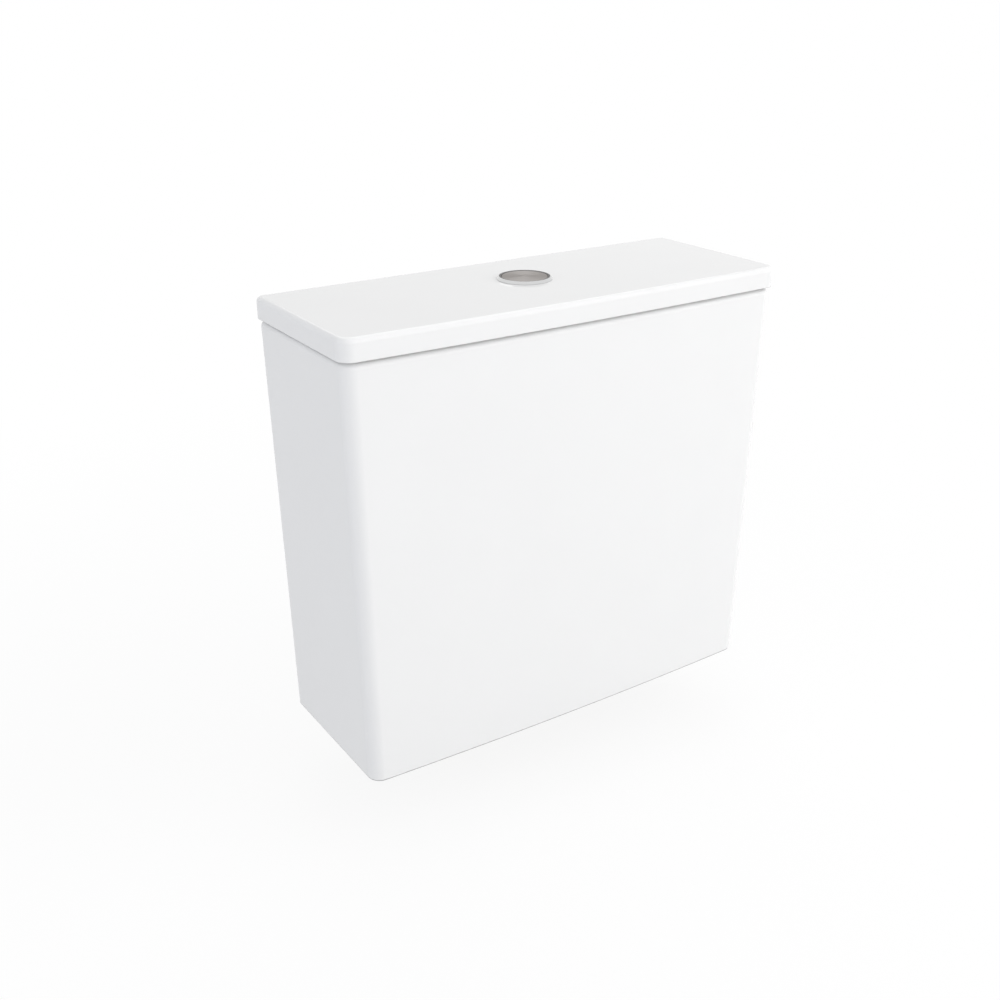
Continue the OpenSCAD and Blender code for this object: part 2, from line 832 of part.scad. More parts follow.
module overflow_tube() {
    color(grey_plastic) {
        difference() {
            union() {
                translate([0, 0, tube_z0])
                    cylinder(r = tube_r, h = tube_z1 - tube_z0);
                translate([0, 0, seal_z1])
                    cylinder(r = seal_r - 1, h = 3);
                translate([0, 0, collar_z0])
                    cylinder(r = collar_r, h = collar_t);
                for (a = [0 : 60 : 300])
                    rotate(a)
                        translate([0, 0.9, seal_z1 + 3 - eps])
                            rotate([90, 0, 0])
                                linear_extrude(1.8)
                                    polygon([[0, 0], [seal_r - 4, 0], [tube_r, 16], [0, 16]]);
                translate([lever_x, 0, 0])
                    rotate(180)
                        lift_hook(collar_z0, collar_t);
            }
            translate([0, 0, tube_z0 - 1])
                cylinder(r = tube_r - tube_wall, h = tube_z1 - tube_z0 + 2);
        }
    }
}

module flush_seal() {
    color(red_rubber)
        translate([0, 0, seat_z])
            pipe(seal_r, tube_r + fit_clear, seal_t);
}

module seal_retainer() {
    color(grey_plastic)
        translate([0, 0, seat_z - retainer_t])
            pipe(tube_r + 5.5, tube_r + fit_clear, retainer_t);
}

module flush_float() {
    roof = 2;
    color(blue_plastic)
        translate([0, 0, ring_float_z0])
            difference() {
                cylinder(r = ring_float_r, h = ring_float_h);
                translate([0, 0, -1])
                    cylinder(r = tube_r + fit_clear, h = ring_float_h + 2);
                translate([0, 0, -1])
                    pipe(ring_float_r - 1.8, tube_r + 2, ring_float_h - roof + 1);
            }
}

module lifting_yoke() {
    color(green_plastic)
        difference() {
            union() {
                translate([0, 0, yoke_z0])
                    cylinder(r = collar_r, h = yoke_t);
                translate([-lever_x, 0, 0])
                    lift_hook(yoke_z0, yoke_t);
            }
            translate([0, 0, yoke_z0 - 1])
                cylinder(r = tube_r + slide_clear, h = yoke_t + 2);
        }
}

// One lever, side -1 under the front rod and +1 under the back rod
module flush_lever(side) {
    hub_len = cheek_x - 2 * slide_clear;
    turn = side < 0 ? 0 : 180;
    rotate(turn)
        translate([0, 0, lever_z])
            difference() {
                union() {
                    translate([-lever_x - lever_w / 2, 0, 0])
                        rotate([90, 0, 90])
                            linear_extrude(lever_w) {
                                rotate(-half_swing)
                                    tipped_bar2d(lift_arm, lever_arm_r, tip_r);
                                rotate(180 - half_swing)
                                    tipped_bar2d(pad_arm, lever_arm_r, tip_r);
                            }
                    translate([-slide_clear - hub_len, 0, 0])
                        rotate([0, 90, 0])
                            cylinder(r = hub_r, h = hub_len);
                }
                translate([-cheek_x - 1, 0, 0])
                    rotate([0, 90, 0])
                        cylinder(r = lever_pin_r + fit_clear, h = cheek_x + 2);
            }
}

module full_flush_lever() {
    color(blue_plastic)
        flush_lever(-1);
}

module half_flush_lever() {
    color(white_plastic)
        flush_lever(1);
}

module lever_pin() {
    reach = cheek_x + cheek_t;
    color(steel)
        translate([0, 0, lever_z])
            rotate([0, 90, 0]) {
                translate([0, 0, -reach - 1])
                    cylinder(r = lever_pin_r, h = 2 * reach + 1);
                translate([0, 0, reach])
                    cylinder(r = lever_pin_r + 1.6, h = 1.6);
            }
}

module fill_body() {
    color(white_plastic)
        translate([-inlet_x, 0, 0])
            difference() {
                union() {
                    translate([0, 0, -tail_drop])
                        cylinder(r = tail_r, h = tail_drop);
                    translate([0, 0, -neck_drop])
                        cylinder(r = neck_r, h = fill_z0 + neck_drop);
                    translate([0, 0, fill_z0])
                        cylinder(d = fill_flange_d, h = fill_z1 - fill_z0);
                    translate([0, 0, fill_z1 - eps])
                        cylinder(r = column_r, h = head_z0 - fill_z1 + eps);
                }
                translate([0, 0, -tail_drop - 1])
                    cylinder(d = tail_bore_d, h = tail_drop + head_z0 + 2);
            }
}

module fill_washer() {
    color(black_rubber)
        translate([-inlet_x, 0, floor_t])
            pipe(fill_flange_d / 2 + 1, neck_r + touch_clear, fill_washer_t);
}

module fill_backnut() {
    color(white_plastic)
        translate([-inlet_x, 0, -fill_nut_t])
            difference() {
                union() {
                    translate([0, 0, fill_nut_t * 0.6])
                        cylinder(d = fill_nut_d, h = fill_nut_t * 0.4);
                    cylinder(d = fill_nut_d - 2, h = fill_nut_t * 0.6 + eps, $fn = 6);
                }
                translate([0, 0, -1])
                    cylinder(r = neck_r + fit_clear, h = fill_nut_t + 2);
            }
}

module inlet_filter() {
    body_r = tail_bore_d / 2 - fit_clear;
    body_h = 26;
    color(green_plastic)
        translate([-inlet_x, 0, -tail_drop])
            difference() {
                union() {
                    translate([0, 0, -1.2])
                        cylinder(r = tail_r - 0.8, h = 1.2);
                    translate([0, 0, -eps])
                        cylinder(r = body_r, h = body_h);
                }
                translate([0, 0, -2])
                    cylinder(r = body_r - 1.2, h = body_h + 0.8);
                for (i = [0 : 5], a = [0, 90])
                    rotate(a)
                        translate([-body_r - 1, -4, 4 + 3.4 * i])
                            cube([2 * body_r + 2, 8, 1.6]);
            }
}

module hush_sleeve() {
    color(white_plastic)
        translate([-inlet_x, 0, 0])
            difference() {
                union() {
                    translate([0, 0, fill_z1])
                        cylinder(r = hush_r, h = head_z0 - fill_z1);
                    translate([0, 0, stop_z1 - 4])
                        cylinder(r = hush_r + 3, h = 4);
                    for (a = [0 : 90 : 270])
                        rotate(a)
                            translate([hush_r - 0.5, -1.2, stop_z1 - 24])
                                cube([3, 2.4, 21]);
                }
                translate([0, 0, fill_z1 - 1])
                    cylinder(r = hush_r - hush_wall, h = head_z0 - fill_z1 + 2);
                for (a = [45, 135])
                    rotate(a)
                        translate([-hush_r - 1, -5, fill_z1 - 1])
                            cube([2 * hush_r + 2, 10, 13]);
            }
}

module valve_head() {
    color(white_plastic)
        translate([-inlet_x, 0, 0])
            difference() {
                union() {
                    translate([0, 0, head_z0])
                        cylinder(r = head_r, h = head_h);
                    for (a = [22.5 : 45 : 337.5])
                        rotate(a)
                            translate([head_r - 1, -1, head_z0 + 3])
                                cube([2.2, 2, head_h - 3 - 4]);
                }
                translate([0, 0, head_z1 - diaphragm_t])
                    cylinder(r = head_r - 2, h = diaphragm_t + 1);
                translate([0, 0, head_z0 + 12])
                    cylinder(r = head_r - 5, h = head_h);
                translate([0, 0, head_z0 - 1])
                    cylinder(d = tail_bore_d, h = head_h);
                for (a = [0 : 60 : 300])
                    rotate(a)
                        translate([(tail_bore_d / 2 + hush_r - hush_wall) / 2 + 0.6, 0, head_z0 - 1])
                            cylinder(r = 1.6, h = 15);
            }
}

module diaphragm() {
    color(black_rubber)
        translate([-inlet_x, 0, head_z1 - diaphragm_t])
            cylinder(r = head_r - 2 - fit_clear, h = diaphragm_t);
}

module valve_cap() {
    ear_r = 4;
    color(grey_plastic)
        translate([-inlet_x, 0, 0]) {
            difference() {
                translate([0, 0, head_z1])
                    linear_extrude(cap_t)
                        notched2d(head_r + 2, 16, 1.5);
            }
            translate([0, 0, cap_z1 - eps])
                cylinder(r = 2.2, h = nozzle_h + eps);
            for (s = [-1, 1])
                translate([pilot_arm, s > 0 ? ear_y + ear_t : -ear_y, 0])
                    rotate([90, 0, 0])
                        linear_extrude(ear_t)
                            difference() {
                                union() {
                                    translate([-ear_r, cap_z1 - eps])
                                        square([2 * ear_r, pivot_z - cap_z1 + eps]);
                                    translate([0, pivot_z])
                                        circle(r = ear_r);
                                }
                                translate([0, pivot_z])
                                    circle(r = float_pin_r + fit_clear);
                            }
        }
}

module float_cup() {
    roof = 2.2;
    bore = hush_r + slide_clear;
    color(blue_plastic)
        difference() {
            union() {
                translate([-inlet_x, 0, float_z0])
                    cylinder(r = float_r, h = float_h);
                translate([-inlet_x + float_r - 6, -6, float_z1 - lug_t])
                    cube([link_x + inlet_x - float_r + 6, 12, lug_t]);
                translate([link_x, 0, float_z1 - lug_t])
                    cylinder(r = 6, h = lug_t);
            }
            translate([-inlet_x, 0, float_z0 - 1])
                cylinder(r = bore, h = float_h + 2);
            translate([-inlet_x, 0, float_z0 - 1])
                pipe(float_r - float_wall, bore + float_wall, float_h - roof + 1);
            translate([link_x, 0, float_z1 - lug_t - 1])
                cylinder(r = link_r + fit_clear, h = lug_t + 2);
        }
}

module float_link() {
    collar_r2 = fork_r + 2;
    color(white_plastic)
        translate([link_x, 0, 0]) {
            translate([0, 0, float_z1 - 26])
                cylinder(r = link_r, h = fork_z + fork_r + touch_clear + 2 - float_z1 + 26);
            translate([0, 0, fork_z - fork_r - touch_clear - 2])
                cylinder(r = collar_r2, h = 2);
            translate([0, 0, fork_z + fork_r + touch_clear])
                cylinder(r = collar_r2, h = 2);
        }
}

module adjusting_clip() {
    color(red_rubber)
        translate([link_x, 0, float_z1])
            difference() {
                union() {
                    cylinder(r = link_r + 2.4, h = clip_h);
                    translate([-1.2, -9, 0])
                        cube([2.4, 18, clip_h]);
                }
                translate([0, 0, -1])
                    cylinder(r = link_r + fit_clear, h = clip_h + 2);
            }
}

// The float lever in the plane that it turns in, with its pivot at the origin and the float up
module float_lever2d() {
    rotate(float_half)
        bar2d(link_arm - fork_len, arm_r);
    rotate(180)
        bar2d(pilot_arm, arm_r);
    circle(r = fork_r + 0.5);
}

module float_lever() {
    fork_in = link_r + 0.6;
    fork_out = fork_in + 2.4;
    color(white_plastic)
        translate([pivot_x, 0, pivot_z])
            rotate([0, 2 * float_half, 0])
                difference() {
                    union() {
                        translate([0, ear_y - slide_clear, 0])
                            rotate([90, 0, 0])
                                linear_extrude(2 * (ear_y - slide_clear))
                                    float_lever2d();
                        translate([0, fork_out, 0])
                            rotate([90, 0, 0])
                                linear_extrude(2 * fork_out)
                                    rotate(float_half)
                                        translate([link_arm - fork_len, 0])
                                            tipped_bar2d(fork_len, fork_bar_r, fork_r);
                    }
                    rotate([0, -float_half, 0])
                        translate([link_arm - fork_len + 3.5, -fork_in, -5 * fork_r])
                            cube([2 * fork_len, 2 * fork_in, 10 * fork_r]);
                    translate([0, 10, 0])
                        rotate([90, 0, 0])
                            cylinder(r = float_pin_r + fit_clear, h = 20);
                }
}

module float_lever_pin() {
    reach = ear_y + ear_t;
    color(steel)
        translate([pivot_x, 0, pivot_z])
            rotate([90, 0, 0]) {
                translate([0, 0, -reach - 0.8])
                    cylinder(r = float_pin_r, h = 2 * reach + 0.8);
                translate([0, 0, reach])
                    cylinder(r = float_pin_r + 1, h = 1.2);
            }
}

module pilot_seal() {
    color(black_rubber)
        translate([pivot_x, 0, pivot_z])
            rotate([0, 2 * float_half, 0])
                translate([-pilot_arm, 0, -arm_r - pilot_seal_t])
                    cylinder(r = 2.6, h = pilot_seal_t);
}

// Two like pieces, one at each coupling bolt
module at_bolts() {
    for (s = [-1, 1])
        translate([s * bolt_x, 0, 0])
            children();
}

module coupling_bolts() {
    color(brass)
        at_bolts()
            difference() {
                union() {
                    translate([0, 0, -bolt_drop])
                        cylinder(r = thread_r, h = bolt_drop + thread_z1);
                    translate([0, 0, thread_z1])
                        cylinder(r = bolt_r, h = 1 - thread_z1);
                    translate([0, 0, 1])
                        cylinder(r = shoulder_r, h = head_washer_z1 - 1 + eps);
                    translate([0, 0, head_washer_z1])
                        cylinder(r = 2 * bolt_r, h = bolt_head_h);
                }
                translate([-20, -1, head_washer_z1 + bolt_head_h - 2.5])
                    cube([40, 2, 5]);
            }
}

module bolt_cone_washers() {
    bore = shoulder_r + fit_clear;
    spigot = bolt_hole_d / 2 - touch_clear;
    top = head_washer_z0;
    color(black_rubber)
        at_bolts()
            rotate_extrude()
                polygon([
                    [bore, floor_t - spigot_len], [spigot, floor_t - spigot_len], [spigot, floor_t],
                    [cone_washer_d / 2, floor_t], [cone_washer_d / 2, floor_t + cone_washer_t * 0.3],
                    [cone_washer_d / 3, top], [bore, top]
                ]);
}

module bolt_head_washers() {
    color(steel)
        at_bolts()
            translate([0, 0, head_washer_z0])
                pipe(2 * bolt_r + 3, shoulder_r + fit_clear, steel_washer_t);
}

module pan_rubber_washers() {
    color(black_rubber)
        at_bolts()
            translate([0, 0, pan_rubber_z0])
                pipe(2 * bolt_r + 4, thread_r + fit_clear, pan_rubber_t);
}

module pan_steel_washers() {
    color(steel)
        at_bolts()
            translate([0, 0, pan_steel_z0])
                pipe(2 * bolt_r + 3, thread_r + fit_clear, steel_washer_t);
}

module wing_nuts() {
    hub = bolt_r + 3;
    color(brass)
        at_bolts()
            translate([0, 0, wing_z0])
                difference() {
                    union() {
                        cylinder(r = hub, h = wing_h);
                        for (s = [0, 180])
                            rotate(s)
                                translate([0, 1.5, 0])
                                    rotate([90, 0, 0])
                                        linear_extrude(3)
                                            polygon([
                                                [hub - 1.5, 2], [hub + 7, -5], [hub + 11, -4],
                                                [hub + 11, 2], [hub - 1.5, wing_h - 1]
                                            ]);
                    }
                    translate([0, 0, -10])
                        cylinder(r = thread_r + fit_clear, h = wing_h + 20);
                }
}

cistern_tank();
cistern_lid();
lid_buffers();
button_bezel();
button_guide_ring();
button_lock_nut();
full_flush_button();
half_flush_button();
full_button_spring();
half_button_spring();
full_push_rod();
half_push_rod();
valve_base();
base_washer();
valve_backnut();
coupling_gasket();
valve_tower();
overflow_tube();
flush_seal();
seal_retainer();
flush_float();
lifting_yoke();
full_flush_lever();
half_flush_lever();
lever_pin();
fill_body();
fill_washer();
fill_backnut();
inlet_filter();
hush_sleeve();
valve_head();
diaphragm();
valve_cap();
float_cup();
float_link();
adjusting_clip();
float_lever();
float_lever_pin();
pilot_seal();
coupling_bolts();
bolt_cone_washers();
bolt_head_washers();
pan_rubber_washers();
pan_steel_washers();
wing_nuts();
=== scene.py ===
"""Looks of a close-coupled toilet cistern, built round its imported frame.

Everything is in metres in the part's own frame: +Z up, +Y towards the wall, the origin on the flush
outlet's axis in the plane of the tank's underside. The china, the push button, the springs and the
threads are modelled here. The moulded, stamped and turned pieces keep their CAD shape and get eased
edges and a finish.
"""

import logging
from collections.abc import Sequence
from dataclasses import dataclass
from enum import Enum
from math import asin, cos, pi, radians, sin, tan
from typing import Any, ClassVar

import bmesh
import bpy
from mathutils import Matrix, Vector


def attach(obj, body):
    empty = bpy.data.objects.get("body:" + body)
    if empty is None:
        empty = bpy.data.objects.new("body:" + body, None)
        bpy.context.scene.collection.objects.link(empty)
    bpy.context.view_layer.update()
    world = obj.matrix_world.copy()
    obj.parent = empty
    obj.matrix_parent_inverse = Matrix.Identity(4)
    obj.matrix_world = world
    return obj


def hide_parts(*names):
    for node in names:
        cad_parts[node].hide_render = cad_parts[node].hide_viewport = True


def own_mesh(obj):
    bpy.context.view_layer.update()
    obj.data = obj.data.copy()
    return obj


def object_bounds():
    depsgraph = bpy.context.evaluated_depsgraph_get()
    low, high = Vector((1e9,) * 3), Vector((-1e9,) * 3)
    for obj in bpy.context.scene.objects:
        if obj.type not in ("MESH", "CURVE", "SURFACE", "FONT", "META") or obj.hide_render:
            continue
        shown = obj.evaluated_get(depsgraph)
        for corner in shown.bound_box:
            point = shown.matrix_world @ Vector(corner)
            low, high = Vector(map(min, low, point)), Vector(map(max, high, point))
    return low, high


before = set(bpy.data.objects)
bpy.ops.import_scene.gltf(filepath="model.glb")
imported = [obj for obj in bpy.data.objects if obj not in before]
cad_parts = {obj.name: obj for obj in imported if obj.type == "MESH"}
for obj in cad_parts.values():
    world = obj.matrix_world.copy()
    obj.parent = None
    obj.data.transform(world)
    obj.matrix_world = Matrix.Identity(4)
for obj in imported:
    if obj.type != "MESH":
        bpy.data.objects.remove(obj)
CAD_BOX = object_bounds()

LOG = logging.getLogger("cistern")
MM = 0.001
WHITE = "#FFFFFF"
SAME_POINT = 1e-7
WELD = 1e-6
FLAT_DEGREES = 0.4
SHARP_DEGREES = 40.0
COARSE_STEPS, FINE_STEPS = 48, 128
COIL_STEPS = 40

Tree = bpy.types.NodeTree
Outputs = bpy.types.NodeOutputs
Socket = bpy.types.NodeSocket
Piece = bpy.types.Object
Inputs = dict[str | int, Any]
Triple = tuple[float, float, float]
Path = list[tuple[float, float]]
Ring = list[Vector]
NodeTable = dict["Surface", dict[str, float]]


def linear(hex_colour: str) -> tuple[float, float, float, float]:
    """Turn an sRGB colour into the linear one that shaders take.

    Args:
        hex_colour: Colour as six hex digits after a #.

    Returns:
        Linear red, green, blue and a full alpha.
    """
    channels = [int(hex_colour[i : i + 2], 16) / 255 for i in (1, 3, 5)]
    red, green, blue = (c / 12.92 if c <= 0.04045 else ((c + 0.055) / 1.055) ** 2.4 for c in channels)
    return red, green, blue, 1.0


def add_node(tree: Tree, kind: str, inputs: Inputs | None = None, **settings: Any) -> Outputs:
    """Add one node to a tree with its settings, values and links.

    Args:
        tree: Shader or geometry tree that takes the node.
        kind: Blender's name for the type of node.
        inputs: For each input, by name or number, a value to hold or an output to link.
        settings: The node's own options.

    Returns:
        The node's outputs.
    """
    node = tree.nodes.new(kind)
    for option, value in settings.items():
        setattr(node, option, value)
    for key, value in (inputs or {}).items():
        if isinstance(value, Socket):
            tree.links.new(value, node.inputs[key])
        else:
            node.inputs[key].default_value = value
    return node.outputs


def pattern(tree: Tree, size_mm: float, stretch: Sequence[float] = (1, 1, 1), detail: float = 2.0) -> Socket:
    """Lay a soft random pattern over a piece's own coordinates.

    Args:
        tree: Shader tree that takes the nodes.
        size_mm: Real size of one patch.
        stretch: How many times longer a patch is along X, Y and Z.
        detail: Octaves of finer pattern within each patch.

    Returns:
        Output socket that runs from 0 to 1 about 0.5.
    """
    place = add_node(tree, "ShaderNodeTexCoord")["Object"]
    drawn = add_node(tree, "ShaderNodeMapping", {"Vector": place, "Scale": [1 / share for share in stretch]})
    look = {"Vector": drawn[0], "Scale": 1 / (size_mm * MM), "Detail": detail}
    return add_node(tree, "ShaderNodeTexNoise", look)[0]


def relief(tree: Tree, layers: Sequence[tuple[Socket, float]]) -> Socket:
    """Stack height patterns into one bumped normal.

    Args:
        tree: Shader tree that takes the nodes.
        layers: Height socket and real depth in millimetres of each pattern.

    Returns:
        Normal socket for the shader.
    """
    inputs: Inputs = {}
    for height, depth_mm in layers:
        inputs |= {"Height": height, "Distance": depth_mm * MM, "Strength": 1.0}
        inputs = {"Normal": add_node(tree, "ShaderNodeBump", inputs)[0]}
    return inputs["Normal"]


@dataclass(frozen=True)
class Finish:
    """A surface finish that builds its material once and shares it.

    Attributes:
        name: Name of the material.
        slot: The record's material slot that the finish belongs to.
        colour: Main colour in sRGB hex.
        second: Colour of the pattern's other patches in sRGB hex.
        roughness: Lowest and highest roughness of the surface.
        usual: Part of a pattern's range that its values usually fill.
    """

    name: str
    slot: str
    colour: str
    second: str
    roughness: tuple[float, float]
    usual: ClassVar[tuple[float, float]] = (0.3, 0.7)

    def material(self) -> bpy.types.Material:
        """Return the finish's material, built the first time it is asked for."""
        found = bpy.data.materials.get(self.name)
        if found:
            return found
        made = bpy.data.materials.new(self.name)
        made.use_nodes = True
        tree = made.node_tree
        tree.nodes.clear()
        shader = add_node(tree, "ShaderNodeBsdfPrincipled", self.paint(tree))
        add_node(tree, "ShaderNodeOutputMaterial", {"Surface": shader["BSDF"]})
        return made

    def paint(self, tree: Tree) -> Inputs:
        """Work out what the shader's inputs hold.

        Args:
            tree: Tree of the material.

        Returns:
            Value or pattern of each input that the finish sets.
        """
        raise NotImplementedError

    def mottle(self, tree: Tree, share: Socket) -> Inputs:
        """Let colour and roughness run with one pattern.

        Args:
            tree: Tree of the material.
            share: Pattern socket, from 0 to 1 about 0.5.

        Returns:
            The shader's colour and roughness.
        """
        ends = {0: share, 6: linear(self.colour), 7: linear(self.second)}
        tone = add_node(tree, "ShaderNodeMix", ends, data_type="RGBA")
        (low, high), (smooth, rough) = self.usual, self.roughness
        reach = {"Value": share, "From Min": low, "From Max": high, "To Min": smooth, "To Max": rough}
        gloss = add_node(tree, "ShaderNodeMapRange", reach)
        return {"Base Color": tone[2], "Roughness": gloss[0]}


@dataclass(frozen=True)
class GlazedChina(Finish):
    """Vitreous china, slip cast and glazed: a deep even white with a wet shine.

    The glaze lies in long soft waves with a faint orange peel. Where the piece stood in the kiln it is wiped
    bare, which leaves a matt body with a wavering edge. Its grey is darker than real biscuit: it paints the
    shade along the tank's foot and in the gap under the lid.

    Attributes:
        bare_shade_below: Height under which the body is bare, in metres; its grey there paints shade.
    """

    bare_shade_below: float = 0.0
    ior: float = 1.52
    # Grey darker than real biscuit: painted shade along the tank's foot and in the gap under the lid.
    bare_body_shade_colour: str = "#BABAB9"
    body_roughness: float = 0.85
    wave_mm: float = 55.0
    wave_depth_mm: float = 0.05
    peel_mm: float = 4.5
    peel_depth_mm: float = 0.004
    grit_mm: float = 0.7
    grit_depth_mm: float = 0.08
    glaze_edge_mm: float = 0.5

    def paint(self, tree: Tree) -> Inputs:
        """Give the shader glaze above the bare line and grey biscuit body below it, whose grey paints shade."""
        waves = pattern(tree, self.wave_mm, detail=1.0)
        peel = pattern(tree, self.peel_mm, detail=1.0)
        grit = pattern(tree, self.grit_mm)
        place = add_node(tree, "ShaderNodeTexCoord")["Object"]
        edge = self.glaze_edge_mm * MM
        lifted = {0: peel, 1: edge, 2: add_node(tree, "ShaderNodeSeparateXYZ", {0: place})["Z"]}
        wander = add_node(tree, "ShaderNodeMath", lifted, operation="MULTIPLY_ADD")[0]
        fade = {"Value": wander, "From Min": self.bare_shade_below, "From Max": self.bare_shade_below + edge}
        fade |= {"To Min": 1.0, "To Max": 0.0}
        bare = add_node(tree, "ShaderNodeMapRange", fade, interpolation_type="SMOOTHSTEP")[0]
        glaze = self.mottle(tree, waves)
        # Below the bare line the grey body colour paints the shade of the foot's edge and of the lid gap.
        tones = {0: bare, 6: glaze["Base Color"], 7: linear(self.bare_body_shade_colour)}
        tone = add_node(tree, "ShaderNodeMix", tones, data_type="RGBA")[2]
        shine = {0: bare, 2: glaze["Roughness"], 3: self.body_roughness}
        gloss = add_node(tree, "ShaderNodeMix", shine, data_type="FLOAT")[0]
        grain = add_node(tree, "ShaderNodeMath", {0: grit, 1: bare}, operation="MULTIPLY")[0]
        layers = [(waves, self.wave_depth_mm), (peel, self.peel_depth_mm), (grain, self.grit_depth_mm)]
        return {"IOR": self.ior, "Base Color": tone, "Roughness": gloss, "Normal": relief(tree, layers)}


@dataclass(frozen=True)
class PolishedPlate(Finish):
    """Bright chrome plate over a moulding: mirror clear, with faint handling haze and hairline scratches.

    The hairlines are drawn about 0.6 mm apart, coarser than real ones, so that they show.
    """

    haze_mm: float = 9.0
    hair_mm: float = 0.6
    hair_depth_mm: float = 0.002

    def paint(self, tree: Tree) -> Inputs:
        """Give the shader mirror metal with a little haze."""
        haze = self.mottle(tree, pattern(tree, self.haze_mm))
        hair = pattern(tree, self.hair_mm, stretch=(12, 2, 2))
        return {"Metallic": 1.0, "Normal": relief(tree, [(hair, self.hair_depth_mm)]), **haze}


@dataclass(frozen=True)
class SpunSatin(Finish):
    """Satin chrome, brushed on a spindle: fine rings about the axis that draw light into a soft fan. Lighter
    streaks along Y paint a fan highlight into the colour as well.

    The rings are drawn about 0.5 mm apart, coarser than the real brushing, so that they show.
    """

    ring_mm: float = 0.5
    ring_depth_mm: float = 0.012
    brushing: float = 0.6
    painted_fan_mm: float = 14.0
    edge_tint: str = "#C4C1BF"

    def paint(self, tree: Tree) -> Inputs:
        """Give the shader brushed metal whose grain runs round the Z axis."""
        level = {0: add_node(tree, "ShaderNodeTexCoord")["Object"], 1: (1.0, 1.0, 0.0)}
        flat = add_node(tree, "ShaderNodeVectorMath", level, operation="MULTIPLY")[0]
        out = add_node(tree, "ShaderNodeVectorMath", {0: flat}, operation="LENGTH")
        across = add_node(tree, "ShaderNodeVectorMath", {0: flat}, operation="NORMALIZE")
        spun = {"W": out["Value"], "Scale": 1 / (self.ring_mm * MM), "Detail": 3.0}
        rings = add_node(tree, "ShaderNodeTexNoise", spun, noise_dimensions="1D")
        # Colour and roughness streaks stretched along Y: a painted fan highlight.
        fan = self.mottle(tree, pattern(tree, self.painted_fan_mm, stretch=(1, 6, 1)))
        fan |= {"Anisotropic": self.brushing, "Tangent": across[0], "Specular Tint": linear(self.edge_tint)}
        return {"Metallic": 1.0, "Normal": relief(tree, [(rings[0], self.ring_depth_mm)]), **fan}


@dataclass(frozen=True)
class WorkedMetal(Finish):
    """Turned, rolled or drawn metal: tool lines that run one way over a slightly tarnished colour.

    Attributes:
        along: How many times longer the tool lines are along X, Y and Z.
    """

    line_mm: float = 0.35
    along: Triple = (10, 10, 1)
    line_depth_mm: float = 0.012
    tarnish_mm: float = 7.0

    def paint(self, tree: Tree) -> Inputs:
        """Give the shader metal with tool lines and tarnish."""
        tarnish = self.mottle(tree, pattern(tree, self.tarnish_mm, detail=4.0))
        lines = pattern(tree, self.line_mm, stretch=self.along)
        return {"Metallic": 1.0, "Normal": relief(tree, [(lines, self.line_depth_mm)]), **tarnish}


@dataclass(frozen=True)
class Moulded(Finish):
    """An injection or compression moulding: an even colour with a satin skin from the tool's fine texture.

    Slow flow marks move the colour a little. The skin texture is drawn coarser than the real one, so that it
    shows.
    """

    ior: float = 1.49
    skin_mm: float = 0.8
    skin_depth_mm: float = 0.012
    flow_mm: float = 16.0

    def paint(self, tree: Tree) -> Inputs:
        """Give the shader a coloured skin with flow marks and texture."""
        flow = self.mottle(tree, pattern(tree, self.flow_mm, stretch=(1, 1, 2.5)))
        skin = pattern(tree, self.skin_mm, detail=3.0)
        return {"IOR": self.ior, "Normal": relief(tree, [(skin, self.skin_depth_mm)]), **flow}


@dataclass(frozen=True)
class FoamedRubber(Finish):
    """Closed-cell foam rubber, cut from a bun: dull black with open cells all over the cut faces."""

    ior: float = 1.45
    patch_mm: float = 6.0
    cell_mm: float = 1.4
    cell_depth_mm: float = 0.5

    def paint(self, tree: Tree) -> Inputs:
        """Give the shader cut cells."""
        patches = self.mottle(tree, pattern(tree, self.patch_mm))
        place = add_node(tree, "ShaderNodeTexCoord")["Object"]
        spread = {"Vector": place, "Scale": 1 / (self.cell_mm * MM)}
        cells = add_node(tree, "ShaderNodeTexVoronoi", spread)["Distance"]
        return {"IOR": self.ior, "Normal": relief(tree, [(cells, self.cell_depth_mm)]), **patches}


